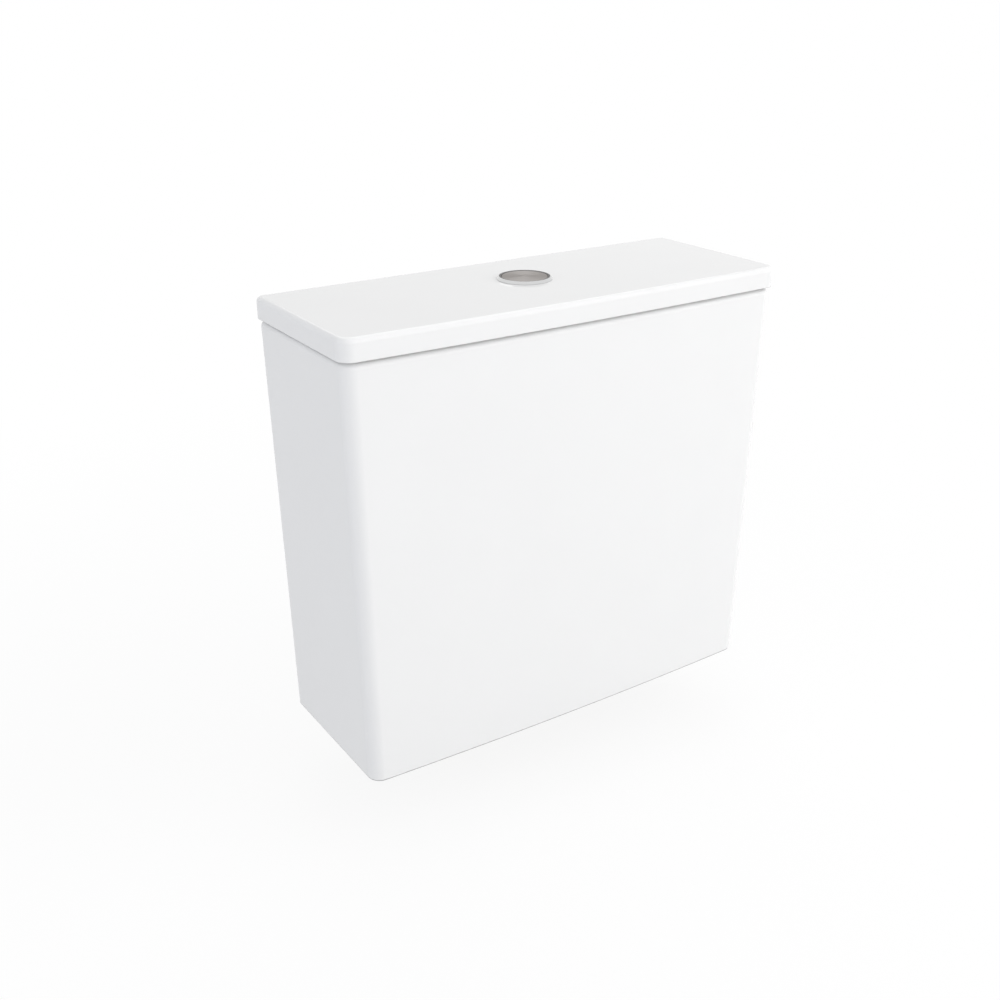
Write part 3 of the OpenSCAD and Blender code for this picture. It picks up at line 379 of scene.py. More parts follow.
class Surface(Enum):
    """The finishes of the cistern's pieces."""

    # Bare grey foot band 1.5 mm high: real unglazed foot, its grey painted shade along the base edge.
    TANK_CHINA = GlazedChina(
        "glazed_vitreous_china", "vitreous_china", "#EEEEEE", "#F0F0F0", (0.05, 0.1), bare_shade_below=0.0015
    )
    # Bare grey underside and lip: real unglazed underside, its grey painted shade in the gap under the lid.
    LID_CHINA = GlazedChina(
        "glazed_vitreous_china_lid", "vitreous_china", "#EEEEEE", "#F0F0F0", (0.05, 0.1), bare_shade_below=0.33535
    )
    CHROME = PolishedPlate("bright_chrome_plate", "polished_chrome", "#D2D3D3", "#DADADA", (0.05, 0.12))
    SATIN = SpunSatin("spun_satin_chrome", "satin_chrome", "#9F9C9A", "#A8A5A3", (0.3, 0.38))
    SPRING = WorkedMetal(
        "drawn_spring_steel", "spring_steel", "#8D9093", "#9A9C9E", (0.22, 0.34), line_mm=0.25, along=(1, 1, 1)
    )
    STAINLESS = WorkedMetal(
        "rolled_stainless_steel", "stainless_steel", "#A6A8AA", "#B2B4B5", (0.24, 0.36), along=(14, 1, 1)
    )
    BRASS = WorkedMetal("turned_brass", "brass", "#C7A257", "#B48C43", (0.24, 0.4))
    WHITE_PLASTIC = Moulded("moulded_white_polypropylene", "white_polypropylene", "#E6E8E7", "#DFE2E2", (0.34, 0.46))
    GREY_PLASTIC = Moulded("moulded_grey_polypropylene", "grey_polypropylene", "#8D949B", "#848B93", (0.34, 0.46))
    BLUE_PLASTIC = Moulded("moulded_blue_polypropylene", "blue_polypropylene", "#2F67A8", "#295C99", (0.32, 0.44))
    GREEN_PLASTIC = Moulded("moulded_green_polypropylene", "green_polypropylene", "#4B9460", "#428656", (0.32, 0.44))
    # Dark grey of the guide ring: painted shade in the gap between the plates and the bezel.
    GAP_SHADE_PLASTIC = Moulded("charcoal_acetal_gap_shade", "black_acetal", "#4A4847", "#545251", (0.42, 0.55), ior=1.48)
    RED_PLASTIC = Moulded("moulded_red_acetal", "red_acetal", "#B8352B", "#AB2E26", (0.26, 0.36))
    RED_RUBBER = Moulded(
        "moulded_red_silicone", "red_silicone", "#A93A2C", "#9C3327", (0.36, 0.5), ior=1.41, skin_mm=1.1
    )
    WHITE_RUBBER = Moulded(
        "moulded_white_silicone", "white_silicone", "#DFE1E1", "#D6D9D9", (0.4, 0.55), ior=1.41, skin_mm=1.1
    )
    BLACK_RUBBER = Moulded(
        "moulded_black_rubber", "black_rubber", "#1D1D1E", "#29292A", (0.5, 0.68), skin_mm=0.9, skin_depth_mm=0.03
    )
    FOAM_RUBBER = FoamedRubber("cut_foam_rubber", "black_rubber", "#1F1F20", "#2A2A2B", (0.7, 0.88))


def fillet_path(corners: Sequence[Triple], steps: int = 6) -> Path:
    """Round the corners of a path of straight lines.

    Args:
        corners: Radius from the axis, height and rounding radius of each corner, in order.
        steps: Straight pieces in each rounding.

    Returns:
        Points of the path; its two ends stay where they are.
    """
    path: Path = [corners[0][:2]]
    for before, here, after in zip(corners, corners[1:], corners[2:]):
        corner = Vector(here[:2])
        back = (Vector(before[:2]) - corner).normalized()
        on = (Vector(after[:2]) - corner).normalized()
        if here[2] <= 0:
            path.append(tuple(corner))
            continue
        half = back.angle(on) / 2
        centre = corner + (back + on).normalized() * (here[2] / sin(half))
        reach = here[2] / tan(half)
        start, end = corner + back * reach - centre, corner + on * reach - centre
        sweep = start.angle_signed(end)
        path += [tuple(centre + Matrix.Rotation(-sweep * i / steps, 2) @ start) for i in range(steps + 1)]
    return [*path, corners[-1][:2]]


def quarter(steps: int) -> Path:
    """Give a quarter round of radius 1 as distances from the two faces it joins.

    Args:
        steps: Straight pieces in the round.

    Returns:
        Pairs that run from (1, 0) to (0, 1).
    """
    return [(1 - sin(a), 1 - cos(a)) for a in (radians(90 * i / steps) for i in range(steps + 1))]


HOLE_ROUND, CHINA_ROUND = quarter(6), quarter(8)


def add_object(name: str, data: bpy.types.ID) -> Piece:
    """Add an object to the scene.

    Args:
        name: Its name.
        data: Its mesh, light or camera.

    Returns:
        The new object.
    """
    added = bpy.data.objects.new(name, data)
    bpy.context.scene.collection.objects.link(added)
    return added


def loft(name: str, rings: Sequence[Ring], looped: bool = False) -> Piece:
    """Skin a stack of rings that run anticlockwise and climb the outside.

    Args:
        name: Name of the new piece.
        rings: Rings of points, all of one length.
        looped: True joins the last ring to the first; False caps both ends.

    Returns:
        The new piece, with a smooth closed mesh.
    """
    built = bmesh.new()
    rows = [[built.verts.new(point) for point in ring] for ring in rings]
    pairs = list(zip(rows, rows[1:])) + ([(rows[-1], rows[0])] if looped else [])
    for low, high in pairs:
        for i in range(len(low)):
            k = (i + 1) % len(low)
            built.faces.new((low[i], low[k], high[k], high[i]))
    if not looped:
        built.faces.new(reversed(rows[0]))
        built.faces.new(rows[-1])
    bmesh.ops.remove_doubles(built, verts=built.verts, dist=SAME_POINT)
    mesh = bpy.data.meshes.new(name)
    built.to_mesh(mesh)
    built.free()
    return add_object(name, mesh)


def lathe(name: str, path: Path, at: Sequence[float] = (0, 0), steps: int = 96, looped: bool = False) -> Piece:
    """Turn a path about an upright axis.

    Args:
        name: Name of the new piece.
        path: Radius and height of each point, climbing the outside.
        at: Place of the axis in plan.
        steps: Points round the axis.
        looped: True for a ring whose path closes on itself.

    Returns:
        The new piece.
    """
    turns = [(cos(a), sin(a)) for a in (2 * pi * i / steps for i in range(steps))]
    rings = [[Vector((at[0] + r * c, at[1] + r * s, z)) for c, s in turns] for r, z in path]
    return loft(name, rings, looped)


def join(piece: Piece, others: Sequence[Piece]) -> Piece:
    """Put other pieces' meshes into one piece.

    Args:
        piece: Piece that takes them.
        others: Pieces that are used up.

    Returns:
        The piece.
    """
    built = bmesh.new()
    for part in (piece, *others):
        built.from_mesh(part.data)
    built.to_mesh(piece.data)
    built.free()
    for part in others:
        bpy.data.meshes.remove(part.data)
    return piece


def settle(piece: Piece) -> Piece:
    """Turn a piece's modifiers into plain mesh for good.

    Args:
        piece: Piece with modifiers.

    Returns:
        The piece, with none.
    """
    bpy.context.view_layer.update()
    graph = bpy.context.evaluated_depsgraph_get()
    mesh = bpy.data.meshes.new_from_object(piece.evaluated_get(graph), depsgraph=graph)
    spent = piece.data
    piece.modifiers.clear()
    piece.data = mesh
    bpy.data.meshes.remove(spent)
    mesh.name = piece.name
    return piece


def carve(piece: Piece, tools: Sequence[Piece]) -> Piece:
    """Cut shapes out of a piece.

    Args:
        piece: Piece to cut.
        tools: Closed shapes that don't touch each other; they are used up.

    Returns:
        The piece with its cuts.
    """
    tool = join(tools[0], tools[1:])
    cut = piece.modifiers.new("cut", "BOOLEAN")
    cut.object = tool
    cut.operation = "DIFFERENCE"
    cut.solver = "EXACT"
    settle(piece)
    bpy.data.meshes.remove(tool.data)
    return piece


def hole_tool(radius: float, low: float, high: float, ease: float, at: Sequence[float] = (0, 0)) -> Piece:
    """Make the tool for a round hole whose two rims are eased.

    Args:
        radius: Radius of the hole.
        low: Height of the face it starts from.
        high: Height of the face it comes out of.
        ease: Rounding radius of the rims.
        at: Place of its axis in plan.

    Returns:
        Closed tool that stands a little out of both faces.
    """
    past, wide = 2 * MM, radius + ease
    lower = [(radius + ease * u, low + ease * v) for u, v in HOLE_ROUND]
    upper = [(radius + ease * v, high - ease * u) for u, v in HOLE_ROUND]
    path = [(0.0, low - past), (wide, low - past), *lower, *upper, (wide, high + past), (0.0, high + past)]
    return lathe("hole_tool", path, at)


def shade(piece: Piece) -> Piece:
    """Shade a new piece smooth, with true flats beside its roundings.

    Args:
        piece: Piece to shade.

    Returns:
        The piece.
    """
    mesh = piece.data
    mesh.polygons.foreach_set("use_smooth", [True] * len(mesh.polygons))
    mesh.set_sharp_from_angle(angle=radians(SHARP_DEGREES))
    weights = piece.modifiers.new("flat_normals", "WEIGHTED_NORMAL")
    weights.keep_sharp = True
    return piece


def place_piece(piece: Piece, body: str, surface: "Surface", *stands_for: str) -> None:
    """Give a new piece its finish, its body and the nodes it stands for.

    Args:
        piece: Piece with its final mesh.
        body: CAD body that it moves with.
        surface: Its finish.
        stands_for: CAD nodes that it replaces.
    """
    finish: Finish = surface.value
    piece.data.materials.clear()
    piece.data.materials.append(finish.material())
    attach(piece, body)
    if stands_for:
        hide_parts(*stands_for)
    LOG.info("%s: %d faces, %s, rides on %s", piece.name, len(piece.data.polygons), finish.name, body)


def dress_nodes(table: NodeTable) -> None:
    """Finish a sub-assembly's CAD nodes as they stand, with sharp edges eased by live modifiers.

    Args:
        table: For each finish, the nodes that have it and the width of their eased edges in millimetres.
    """
    rows = [(surface.value, *row) for surface, eases in table.items() for row in eases.items()]
    for finish, name, ease_mm in rows:
        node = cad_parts[name]
        for held in node.material_slots:
            held.material = finish.material()
        weld = node.modifiers.new("weld", "WELD")
        weld.merge_threshold = WELD
        flats = node.modifiers.new("whole_faces", "DECIMATE")
        flats.decimate_type = "DISSOLVE"
        flats.angle_limit = radians(FLAT_DEGREES)
        eased = node.modifiers.new("eased_edges", "BEVEL")
        eased.width = ease_mm * MM
        eased.segments = 2
        eased.limit_method = "ANGLE"
        eased.angle_limit = radians(SHARP_DEGREES)
        eased.harden_normals = True
        LOG.info("%s: CAD node, %s, edges eased %.2f mm", name, finish.name, ease_mm)


class Section(Enum):
    """Section of a winding: how many sides it has."""

    RIDGE = 4
    WIRE = 12


@dataclass
class Winding:
    """A thread's ridge or a spring's wire, wound by Geometry Nodes on each of a row of like pieces.

    Attributes:
        name: Name of the piece.
        radius: Radius of the section's middle about the axis.
        pitch: Rise of one turn.
        turns: Number of turns.
        depth: Radius of the section.
        foot: Lowest point of the axis, on the first of a row.
        section: Kind of section.
        count: How many stand in the row.
        spacing: Step from one to the next.
    """

    name: str
    radius: float
    pitch: float
    turns: float
    depth: float
    foot: Triple
    section: Section = Section.RIDGE
    count: int = 1
    spacing: Triple = (0.0, 0.0, 0.0)
    sizes: ClassVar[dict[str, str]] = {
        **dict.fromkeys(("radius", "pitch", "turns", "depth"), "NodeSocketFloat"),
        **dict.fromkeys(("sides", "count"), "NodeSocketInt"),
        **dict.fromkeys(("foot", "spacing"), "NodeSocketVector"),
    }

    @classmethod
    def tree(cls) -> Tree:
        """Return the tree that winds, with an input for each size, built the first time it is asked for."""
        found = bpy.data.node_groups.get("winding")
        if found:
            return found
        tree = bpy.data.node_groups.new("winding", "GeometryNodeTree")
        for name, kind in cls.sizes.items():
            tree.interface.new_socket(name, in_out="INPUT", socket_type=kind)
        tree.interface.new_socket("Mesh", in_out="OUTPUT", socket_type="NodeSocketGeometry")
        given = add_node(tree, "NodeGroupInput")
        rise = add_node(tree, "ShaderNodeMath", {0: given["pitch"], 1: given["turns"]}, operation="MULTIPLY")
        run = {"Resolution": COIL_STEPS, "Rotations": given["turns"], "Height": rise[0]}
        run |= {"Start Radius": given["radius"], "End Radius": given["radius"]}
        spiral = add_node(tree, "GeometryNodeCurveSpiral", run)
        upright = add_node(tree, "GeometryNodeSetCurveNormal", {"Curve": spiral[0]}, mode="Z_UP")
        shape = {"Resolution": given["sides"], "Radius": given["depth"]}
        section = add_node(tree, "GeometryNodeCurvePrimitiveCircle", shape, mode="RADIUS")
        sweep = {"Curve": upright[0], "Profile Curve": section[0], "Fill Caps": True}
        swept = add_node(tree, "GeometryNodeCurveToMesh", sweep)
        smooth = add_node(tree, "GeometryNodeSetShadeSmooth", {0: swept[0]})
        feet = {"Count": given["count"], "Start Location": given["foot"], "Offset": given["spacing"]}
        row = add_node(tree, "GeometryNodeMeshLine", feet, mode="OFFSET")
        each = add_node(tree, "GeometryNodeInstanceOnPoints", {"Points": row[0], "Instance": smooth[0]})
        real = add_node(tree, "GeometryNodeRealizeInstances", {0: each[0]})
        add_node(tree, "NodeGroupOutput", {0: real[0]})
        return tree

    def build(self, body: str, surface: Surface, *stands_for: str) -> Piece:
        """Wind the piece, turn it into plain mesh and put it in its place.

        Args:
            body: CAD body that it moves with.
            surface: Its finish.
            stands_for: CAD nodes that it replaces.

        Returns:
            The piece.
        """
        piece = add_object(self.name, bpy.data.meshes.new(self.name))
        wound = piece.modifiers.new("winding", "NODES")
        wound.node_group = self.tree()
        sockets = {item.name: item.identifier for item in wound.node_group.interface.items_tree}
        values = {**vars(self), "sides": self.section.value}
        for name in self.sizes:
            wound[sockets[name]] = values[name]
        place_piece(settle(piece), body, surface, *stands_for)
        return piece


@dataclass(frozen=True)
class ChinaPlan:
    """Plan of the china at one height: a rounded oblong whose front bows out.

    Attributes:
        width: Overall width.
        front: Y of the front at its two ends.
        back: Y of the back.
        front_round: Radius of the front corners.
        back_round: Radius of the back corners.
        height: Z of the plan.
        bow: How far the middle of the front stands out.
    """

    width: float
    front: float
    back: float
    front_round: float
    back_round: float
    height: float
    bow: float = 3.3 * MM
    corner_steps: int = 16
    bow_steps: int = 48

    def points(self) -> Ring:
        """Give the points of the whole plan, anticlockwise from the right."""
        reach = self.width / 2 - self.front_round
        shares = [2 * i / self.bow_steps - 1 for i in range(1, self.bow_steps)]
        bowed = [Vector((reach * t, self.front - self.bow * (1 - t * t), self.height)) for t in shares]
        back, front = (self.back_round, self.back - self.back_round), (self.front_round, self.front + self.front_round)
        ring: Ring = []
        for turned, side, (r, y) in ((0, 1, back), (90, -1, back), (180, -1, front), (270, 1, front)):
            x = side * (self.width / 2 - r)
            angles = [radians(turned + 90 * i / self.corner_steps) for i in range(self.corner_steps + 1)]
            ring += [Vector((x + r * cos(a), y + r * sin(a), self.height)) for a in angles]
            ring += bowed if turned == 180 else []
        return ring


@dataclass
class ChinaTank:
    """The cast tank: tapered walls, rounded rim and foot, and the holes through its floor and back."""

    base_width: float = 371 * MM
    top_width: float = 386 * MM
    base_front: float = -73.5 * MM
    top_front: float = -74.5 * MM
    back: float = 66 * MM
    height: float = 333.75 * MM
    wall: float = 9 * MM
    floor: float = 12 * MM
    front_round: float = 10.5 * MM
    back_round: float = 7 * MM
    least_round: float = 6 * MM
    foot_round: float = 1.5 * MM
    rim_round: float = 5 * MM
    rim_inner_round: float = 1.5 * MM
    inner_fillet: float = 10 * MM
    hole_ease: float = 1.5 * MM
    outlet: float = 32 * MM
    inlet: float = 12 * MM
    inlet_x: float = -140 * MM
    bolt_hole: float = 6 * MM
    bolt_x: float = 75 * MM
    screw_hole: float = 4 * MM
    screw_x: float = 120 * MM
    screw_z: float = 277.75 * MM
    climb_steps: int = 8

    def plan(self, inset: float, height: float) -> Ring:
        """Give the tank's plan at a height, moved inwards.

        Args:
            inset: Distance inwards from the outer face.
            height: Height of the plan.

        Returns:
            Points of the plan.
        """
        share = height / self.height
        return ChinaPlan(
            self.base_width + (self.top_width - self.base_width) * share - 2 * inset,
            self.base_front + (self.top_front - self.base_front) * share + inset,
            self.back - inset,
            max(self.front_round - inset, self.least_round),
            max(self.back_round - inset, self.least_round),
            height,
        ).points()

    def rings(self) -> list[Ring]:
        """Give the rings from the foot up the outside, over the rim and down to the floor."""
        foot, rim, lip, fillet = self.foot_round, self.rim_round, self.rim_inner_round, self.inner_fillet
        high, wall, floor, steps = self.height, self.wall, self.floor, self.climb_steps
        return [
            *(self.plan(foot * u, foot * v) for u, v in CHINA_ROUND),
            *(self.plan(0, foot + (high - rim - foot) * i / steps) for i in range(1, steps)),
            *(self.plan(rim * v, high - rim * u) for u, v in CHINA_ROUND),
            *(self.plan(wall - lip * u, high - lip * v) for u, v in CHINA_ROUND),
            *(self.plan(wall + fillet * v, floor + fillet * u) for u, v in CHINA_ROUND),
        ]

    def hole_tools(self) -> list[Piece]:
        """Make the tools for the outlet, the inlet, the bolts and the wall screws."""
        ease, tip = self.hole_ease, Matrix.Rotation(pi / 2, 4, "X")
        tools = [
            hole_tool(self.outlet, 0, self.floor, ease),
            hole_tool(self.inlet, 0, self.floor, ease, (self.inlet_x, 0)),
        ]
        for side in (-1, 1):
            tools.append(hole_tool(self.bolt_hole, 0, self.floor, ease, (side * self.bolt_x, 0)))
            tools.append(hole_tool(self.screw_hole, -self.back, self.wall - self.back, ease))
            tools[-1].data.transform(Matrix.Translation((side * self.screw_x, 0, self.screw_z)) @ tip)
        return tools

    def build(self) -> None:
        """Cast, pierce and glaze the tank."""
        tank = carve(loft("china_tank", self.rings()), self.hole_tools())
        place_piece(shade(tank), "cistern", Surface.TANK_CHINA, "cistern_tank")


@dataclass
class ChinaLid:
    """The cast lid: a flat slab with a soft upper edge and a lip that locates it inside the tank's rim."""

    width: float = 390 * MM
    front: float = -76.5 * MM
    back: float = 66 * MM
    low: float = 335 * MM
    top: float = 351.5 * MM
    ceiling: float = 342.5 * MM
    front_round: float = 10.5 * MM
    back_round: float = 7 * MM
    upper_round: float = 4 * MM
    lower_round: float = 0.5 * MM
    lip_inset: float = 14 * MM
    lip_back_inset: float = 12 * MM
    lip_thick: float = 7 * MM
    lip_deep: float = 8 * MM
    lip_round: float = 1.5 * MM
    lip_lean: float = 4 * MM
    least_front_round: float = 4 * MM
    least_back_round: float = 3 * MM
    hole_ease: float = 0.8 * MM
    button_hole: float = 20.1 * MM
    nodes: ClassVar[NodeTable] = {Surface.WHITE_RUBBER: {"lid_buffers": 0.5}}

    def plan(self, inset: float, back_inset: float, height: float) -> Ring:
        """Give the lid's plan at a height, moved inwards.

        Args:
            inset: Distance inwards at the front and the sides.
            back_inset: Distance inwards at the back.
            height: Height of the plan.

        Returns:
            Points of the plan.
        """
        return ChinaPlan(
            self.width - 2 * inset,
            self.front + inset,
            self.back - back_inset,
            max(self.front_round - inset, self.least_front_round),
            max(self.back_round - inset, self.least_back_round),
            height,
        ).points()

    def rings(self) -> list[Ring]:
        """Give the rings from the ceiling down the lip, up its outside and round the slab."""
        thick, tip, r = self.lip_thick, self.low - self.lip_deep, self.lip_round
        lower, upper = self.lower_round, self.upper_round
        lip = [(thick + self.lip_lean, self.ceiling)]
        lip += [(thick - r * v, tip + r * u) for u, v in CHINA_ROUND]
        lip += [(r * u, tip + r * v) for u, v in CHINA_ROUND]
        lip += [(0, self.low)]
        slab = [(lower * u, self.low + lower * v) for u, v in CHINA_ROUND]
        slab += [(upper * v, self.top - upper * u) for u, v in CHINA_ROUND]
        return [
            *(self.plan(self.lip_inset + inset, self.lip_back_inset + inset, z) for inset, z in lip),
            *(self.plan(inset, inset, z) for inset, z in slab),
        ]

    def build(self) -> None:
        """Cast, pierce and glaze the lid, and dress the pads it rests on."""
        hole = hole_tool(self.button_hole, self.ceiling, self.top, self.hole_ease)
        lid = carve(loft("china_lid", self.rings()), [hole])
        place_piece(shade(lid), "lid", Surface.LID_CHINA, "cistern_lid")
        dress_nodes(self.nodes)


@dataclass
class PushButton:
    """The dual push button: a plated bezel with a threaded sleeve, a dark guide ring that paints the gap's shade, two
    satin plates and springs.
    """

    lid_top: float = 351.5 * MM
    bezel_radius: float = 21.5 * MM
    bezel_top: float = 353.8 * MM
    bezel_edge: float = 0.6 * MM
    crown_width: float = 0.5 * MM
    crown_flat: float = 0.25 * MM
    crown_drop: float = 0.2 * MM
    open_radius: float = 19.7 * MM
    open_deep: float = 1.4 * MM
    sleeve_radius: float = 19.7 * MM
    bore_radius: float = 18.6 * MM
    sleeve_foot: float = 319.5 * MM
    thread_pitch: float = 1.5 * MM
    thread_turns: float = 17
    thread_depth: float = 0.3 * MM
    thread_start: float = 1.2 * MM
    guide_top: float = 321.5 * MM
    guide_hole: float = 3.3 * MM
    guide_ease: float = 0.3 * MM
    ring_radius: float = 18.15 * MM
    ring_clear: float = 0.05 * MM
    ring_sink: float = 0.2 * MM
    plate_radius: float = 17.9 * MM
    plate_top: float = 353.6 * MM
    plate_thick: float = 2.4 * MM
    skirt_deep: float = 10 * MM
    skirt_thick: float = 1.2 * MM
    plate_round: float = 0.4 * MM
    split_round: float = 0.1 * MM
    split_y: float = 3 * MM
    split_gap: float = 0.4 * MM
    stem_radius: float = 3 * MM
    stem_foot: float = 319.2 * MM
    stem_x: float = 6.5 * MM
    stem_y: float = 11 * MM
    stem_sink: float = 0.5 * MM
    wire_radius: float = 0.35 * MM
    coil_radius: float = 3.5 * MM
    coil_clear: float = 0.12 * MM
    coils: float = 6
    press: float = 7 * MM
    round_steps: int = 64
    split_steps: int = 24
    nodes: ClassVar[NodeTable] = {
        Surface.WHITE_PLASTIC: {"button_lock_nut": 0.5, "half_push_rod": 0.3},
        Surface.BLUE_PLASTIC: {"full_push_rod": 0.3},
    }

    def bezel(self) -> None:
        """Turn the bezel with its sleeve and guide plate, and bore it for the two stems."""
        rim, seat = self.bezel_top, self.bezel_top - self.open_deep
        corners = [
            (0, self.sleeve_foot, 0),
            (self.sleeve_radius, self.sleeve_foot, 0.5 * MM),
            (self.sleeve_radius, self.lid_top, 0),
            (self.bezel_radius, self.lid_top, 0.05 * MM),
            (self.bezel_radius, self.lid_top + self.bezel_edge, 0.4 * MM),
            (self.open_radius + self.crown_width, rim - self.crown_drop, 0.2 * MM),
            (self.open_radius + self.crown_flat, rim, 0.12 * MM),
            (self.open_radius, rim, 0.1 * MM),
            (self.open_radius, seat, 0.2 * MM),
            (self.bore_radius, seat, 0.3 * MM),
            (self.bore_radius, self.guide_top, 0.4 * MM),
            (0, self.guide_top, 0),
        ]
        bezel = lathe("chrome_bezel", fillet_path(corners), steps=FINE_STEPS)
        places = [(s * self.stem_x, s * self.stem_y) for s in (-1, 1)]
        size = (self.guide_hole, self.sleeve_foot, self.guide_top, self.guide_ease)
        shade(carve(bezel, [hole_tool(*size, place) for place in places]))
        place_piece(bezel, "lid", Surface.CHROME, "button_bezel")
        foot = (0, 0, self.sleeve_foot + self.thread_start)
        run = (self.sleeve_radius, self.thread_pitch, self.thread_turns, self.thread_depth)
        Winding("sleeve_thread", *run, foot).build("lid", Surface.CHROME)

    def guide_ring(self) -> None:
        """Turn the dark ring that guides the plates, a little below the bezel's edge; its tone paints the gap's shade.
        """
        foot, top = self.bezel_top - self.open_deep, self.bezel_top - self.ring_sink
        outer = self.open_radius - self.ring_clear
        corners = [
            ((self.ring_radius + outer) / 2, foot, 0),
            (outer, foot, 0.1 * MM),
            (outer, top, 0.1 * MM),
            (self.ring_radius, top, 0.2 * MM),
            (self.ring_radius, foot, 0.1 * MM),
        ]
        # The ring's dark tone paints the shade of the gap round the plates.
        ring = lathe("guide_ring_gap_shade", fillet_path(corners), steps=FINE_STEPS, looped=True)
        place_piece(shade(ring), "lid", Surface.GAP_SHADE_PLASTIC, "button_guide_ring")

    def plate_plan(self, side: int, inset: float, split_inset: float, height: float) -> Ring:
        """Give the plan of one plate: a disc cut off along a straight line.

        Args:
            side: -1 for the plate in front of the split, 1 for the one behind it.
            inset: Distance inwards from the plate's round face.
            split_inset: Distance inwards from its straight face.
            height: Height of the plan.

        Returns:
            Points of the plan, anticlockwise.
        """
        r = self.plate_radius - inset
        line = self.split_y + side * (self.split_gap / 2 + split_inset)
        lean = asin(line / r)
        start, end = (lean, pi - lean) if side > 0 else (pi - lean, 2 * pi + lean)
        angles = [start + (end - start) * i / self.round_steps for i in range(self.round_steps + 1)]
        round_part = [Vector((r * cos(a), r * sin(a), height)) for a in angles]
        first, last = round_part[0], round_part[-1]
        return [*round_part, *(last.lerp(first, i / self.split_steps) for i in range(1, self.split_steps))]

    def plate(self, flush: str, side: int) -> None:
        """Build one plate with its skirt and stem, and its spring.

        Args:
            flush: The flush that it gives, which its body, joint and CAD nodes are named for.
            side: -1 in front of the split, 1 behind it.
        """
        name, joint = flush + "_button", flush + "_button_press"
        r, crisp, skirt = self.plate_round, self.split_round, self.skirt_thick
        top, under, foot = self.plate_top, self.plate_top - self.plate_thick, self.plate_top - self.skirt_deep
        rings = [
            self.plate_plan(side, skirt, skirt, under),
            self.plate_plan(side, skirt, skirt, foot),
            self.plate_plan(side, 0, 0, foot),
            *(self.plate_plan(side, r * v, crisp * v, top - r * u) for u, v in CHINA_ROUND),
        ]
        x, y = side * self.stem_x, side * self.stem_y
        corners = [
            (0, self.stem_foot, 0),
            (self.stem_radius, self.stem_foot, 0.4 * MM),
            (self.stem_radius, under + self.stem_sink, 0),
            (0, under + self.stem_sink, 0),
        ]
        stem = lathe(name + "_stem", fillet_path(corners), (x, y), COARSE_STEPS)
        plate = shade(join(loft(name + "_plate", rings), [stem]))
        place_piece(plate, name, Surface.SATIN, flush + "_flush_button")
        rise, wire = under - self.guide_top, self.wire_radius
        run = (self.coil_radius, (rise - 2 * wire - self.coil_clear) / self.coils, self.coils, wire)
        coil = Winding(name + "_coil", *run, (x, y, self.guide_top + wire), Section.WIRE)
        spring = coil.build("lid", Surface.SPRING, name + "_spring")
        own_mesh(spring)

    def build(self) -> None:
        """Build the button and dress the nut and rods under it."""
        self.bezel()
        self.guide_ring()
        self.plate("full", -1)
        self.plate("half", 1)
        dress_nodes(self.nodes)


@dataclass
class FlushValve:
    """The flush valve: base, tower, levers, lifting yoke, overflow tube, float and seal."""

    shank_radius: float = 29.8 * MM
    shank_foot: float = -32 * MM
    shank_pitch: float = 2 * MM
    shank_turns: float = 1.5
    thread_depth: float = 0.3 * MM
    thread_start: float = 0.4 * MM
    nodes: ClassVar[NodeTable] = {
        Surface.WHITE_PLASTIC: {"valve_base": 0.4, "valve_backnut": 0.6, "valve_tower": 0.4, "half_flush_lever": 0.4},
        Surface.GREY_PLASTIC: {"overflow_tube": 0.4, "seal_retainer": 0.4},
        Surface.BLUE_PLASTIC: {"flush_float": 0.8, "full_flush_lever": 0.4},
        Surface.GREEN_PLASTIC: {"lifting_yoke": 0.4},
        Surface.BLACK_RUBBER: {"base_washer": 0.5},
        Surface.FOAM_RUBBER: {"coupling_gasket": 1.0},
        Surface.RED_RUBBER: {"flush_seal": 0.6},
        Surface.STAINLESS: {"lever_pin": 0.3},
    }

    def build(self) -> None:
        """Dress the valve's nodes and cut the thread that shows at its foot."""
        dress_nodes(self.nodes)
        foot = (0, 0, self.shank_foot + self.thread_start)
        run = (self.shank_radius, self.shank_pitch, self.shank_turns, self.thread_depth)
        Winding("shank_thread", *run, foot).build("cistern", Surface.WHITE_PLASTIC)


@dataclass
class FillValve:
    """The fill valve: threaded body, hush sleeve, diaphragm head, float cup and its lever."""

    axis_x: float = -140 * MM
    tail_foot: float = -44 * MM
    tail_radius: float = 10.3 * MM
    tail_pitch: float = 1.814 * MM
    tail_turns: float = 15.5
    thread_depth: float = 0.35 * MM
    thread_start: float = 1.4 * MM
    nodes: ClassVar[NodeTable] = {
        Surface.WHITE_PLASTIC: {
            **{"fill_body": 0.4, "fill_backnut": 0.6, "valve_head": 0.5},
            **dict.fromkeys(("hush_sleeve", "float_link", "float_lever"), 0.3),
        },
        Surface.GREY_PLASTIC: {"valve_cap": 0.4},
        Surface.BLUE_PLASTIC: {"float_cup": 0.5},
        Surface.GREEN_PLASTIC: {"inlet_filter": 0.2},
        Surface.RED_PLASTIC: {"adjusting_clip": 0.4},
        Surface.BLACK_RUBBER: {"fill_washer": 0.5, "diaphragm": 0.3, "pilot_seal": 0.2},
        Surface.STAINLESS: {"float_lever_pin": 0.2},
    }

    def build(self) -> None:
        """Dress the valve's nodes and cut the half-inch pipe thread of its tail."""
        dress_nodes(self.nodes)
        foot = (self.axis_x, 0, self.tail_foot + self.thread_start)
        run = (self.tail_radius, self.tail_pitch, self.tail_turns, self.thread_depth)
        Winding("inlet_thread", *run, foot).build("cistern", Surface.WHITE_PLASTIC)


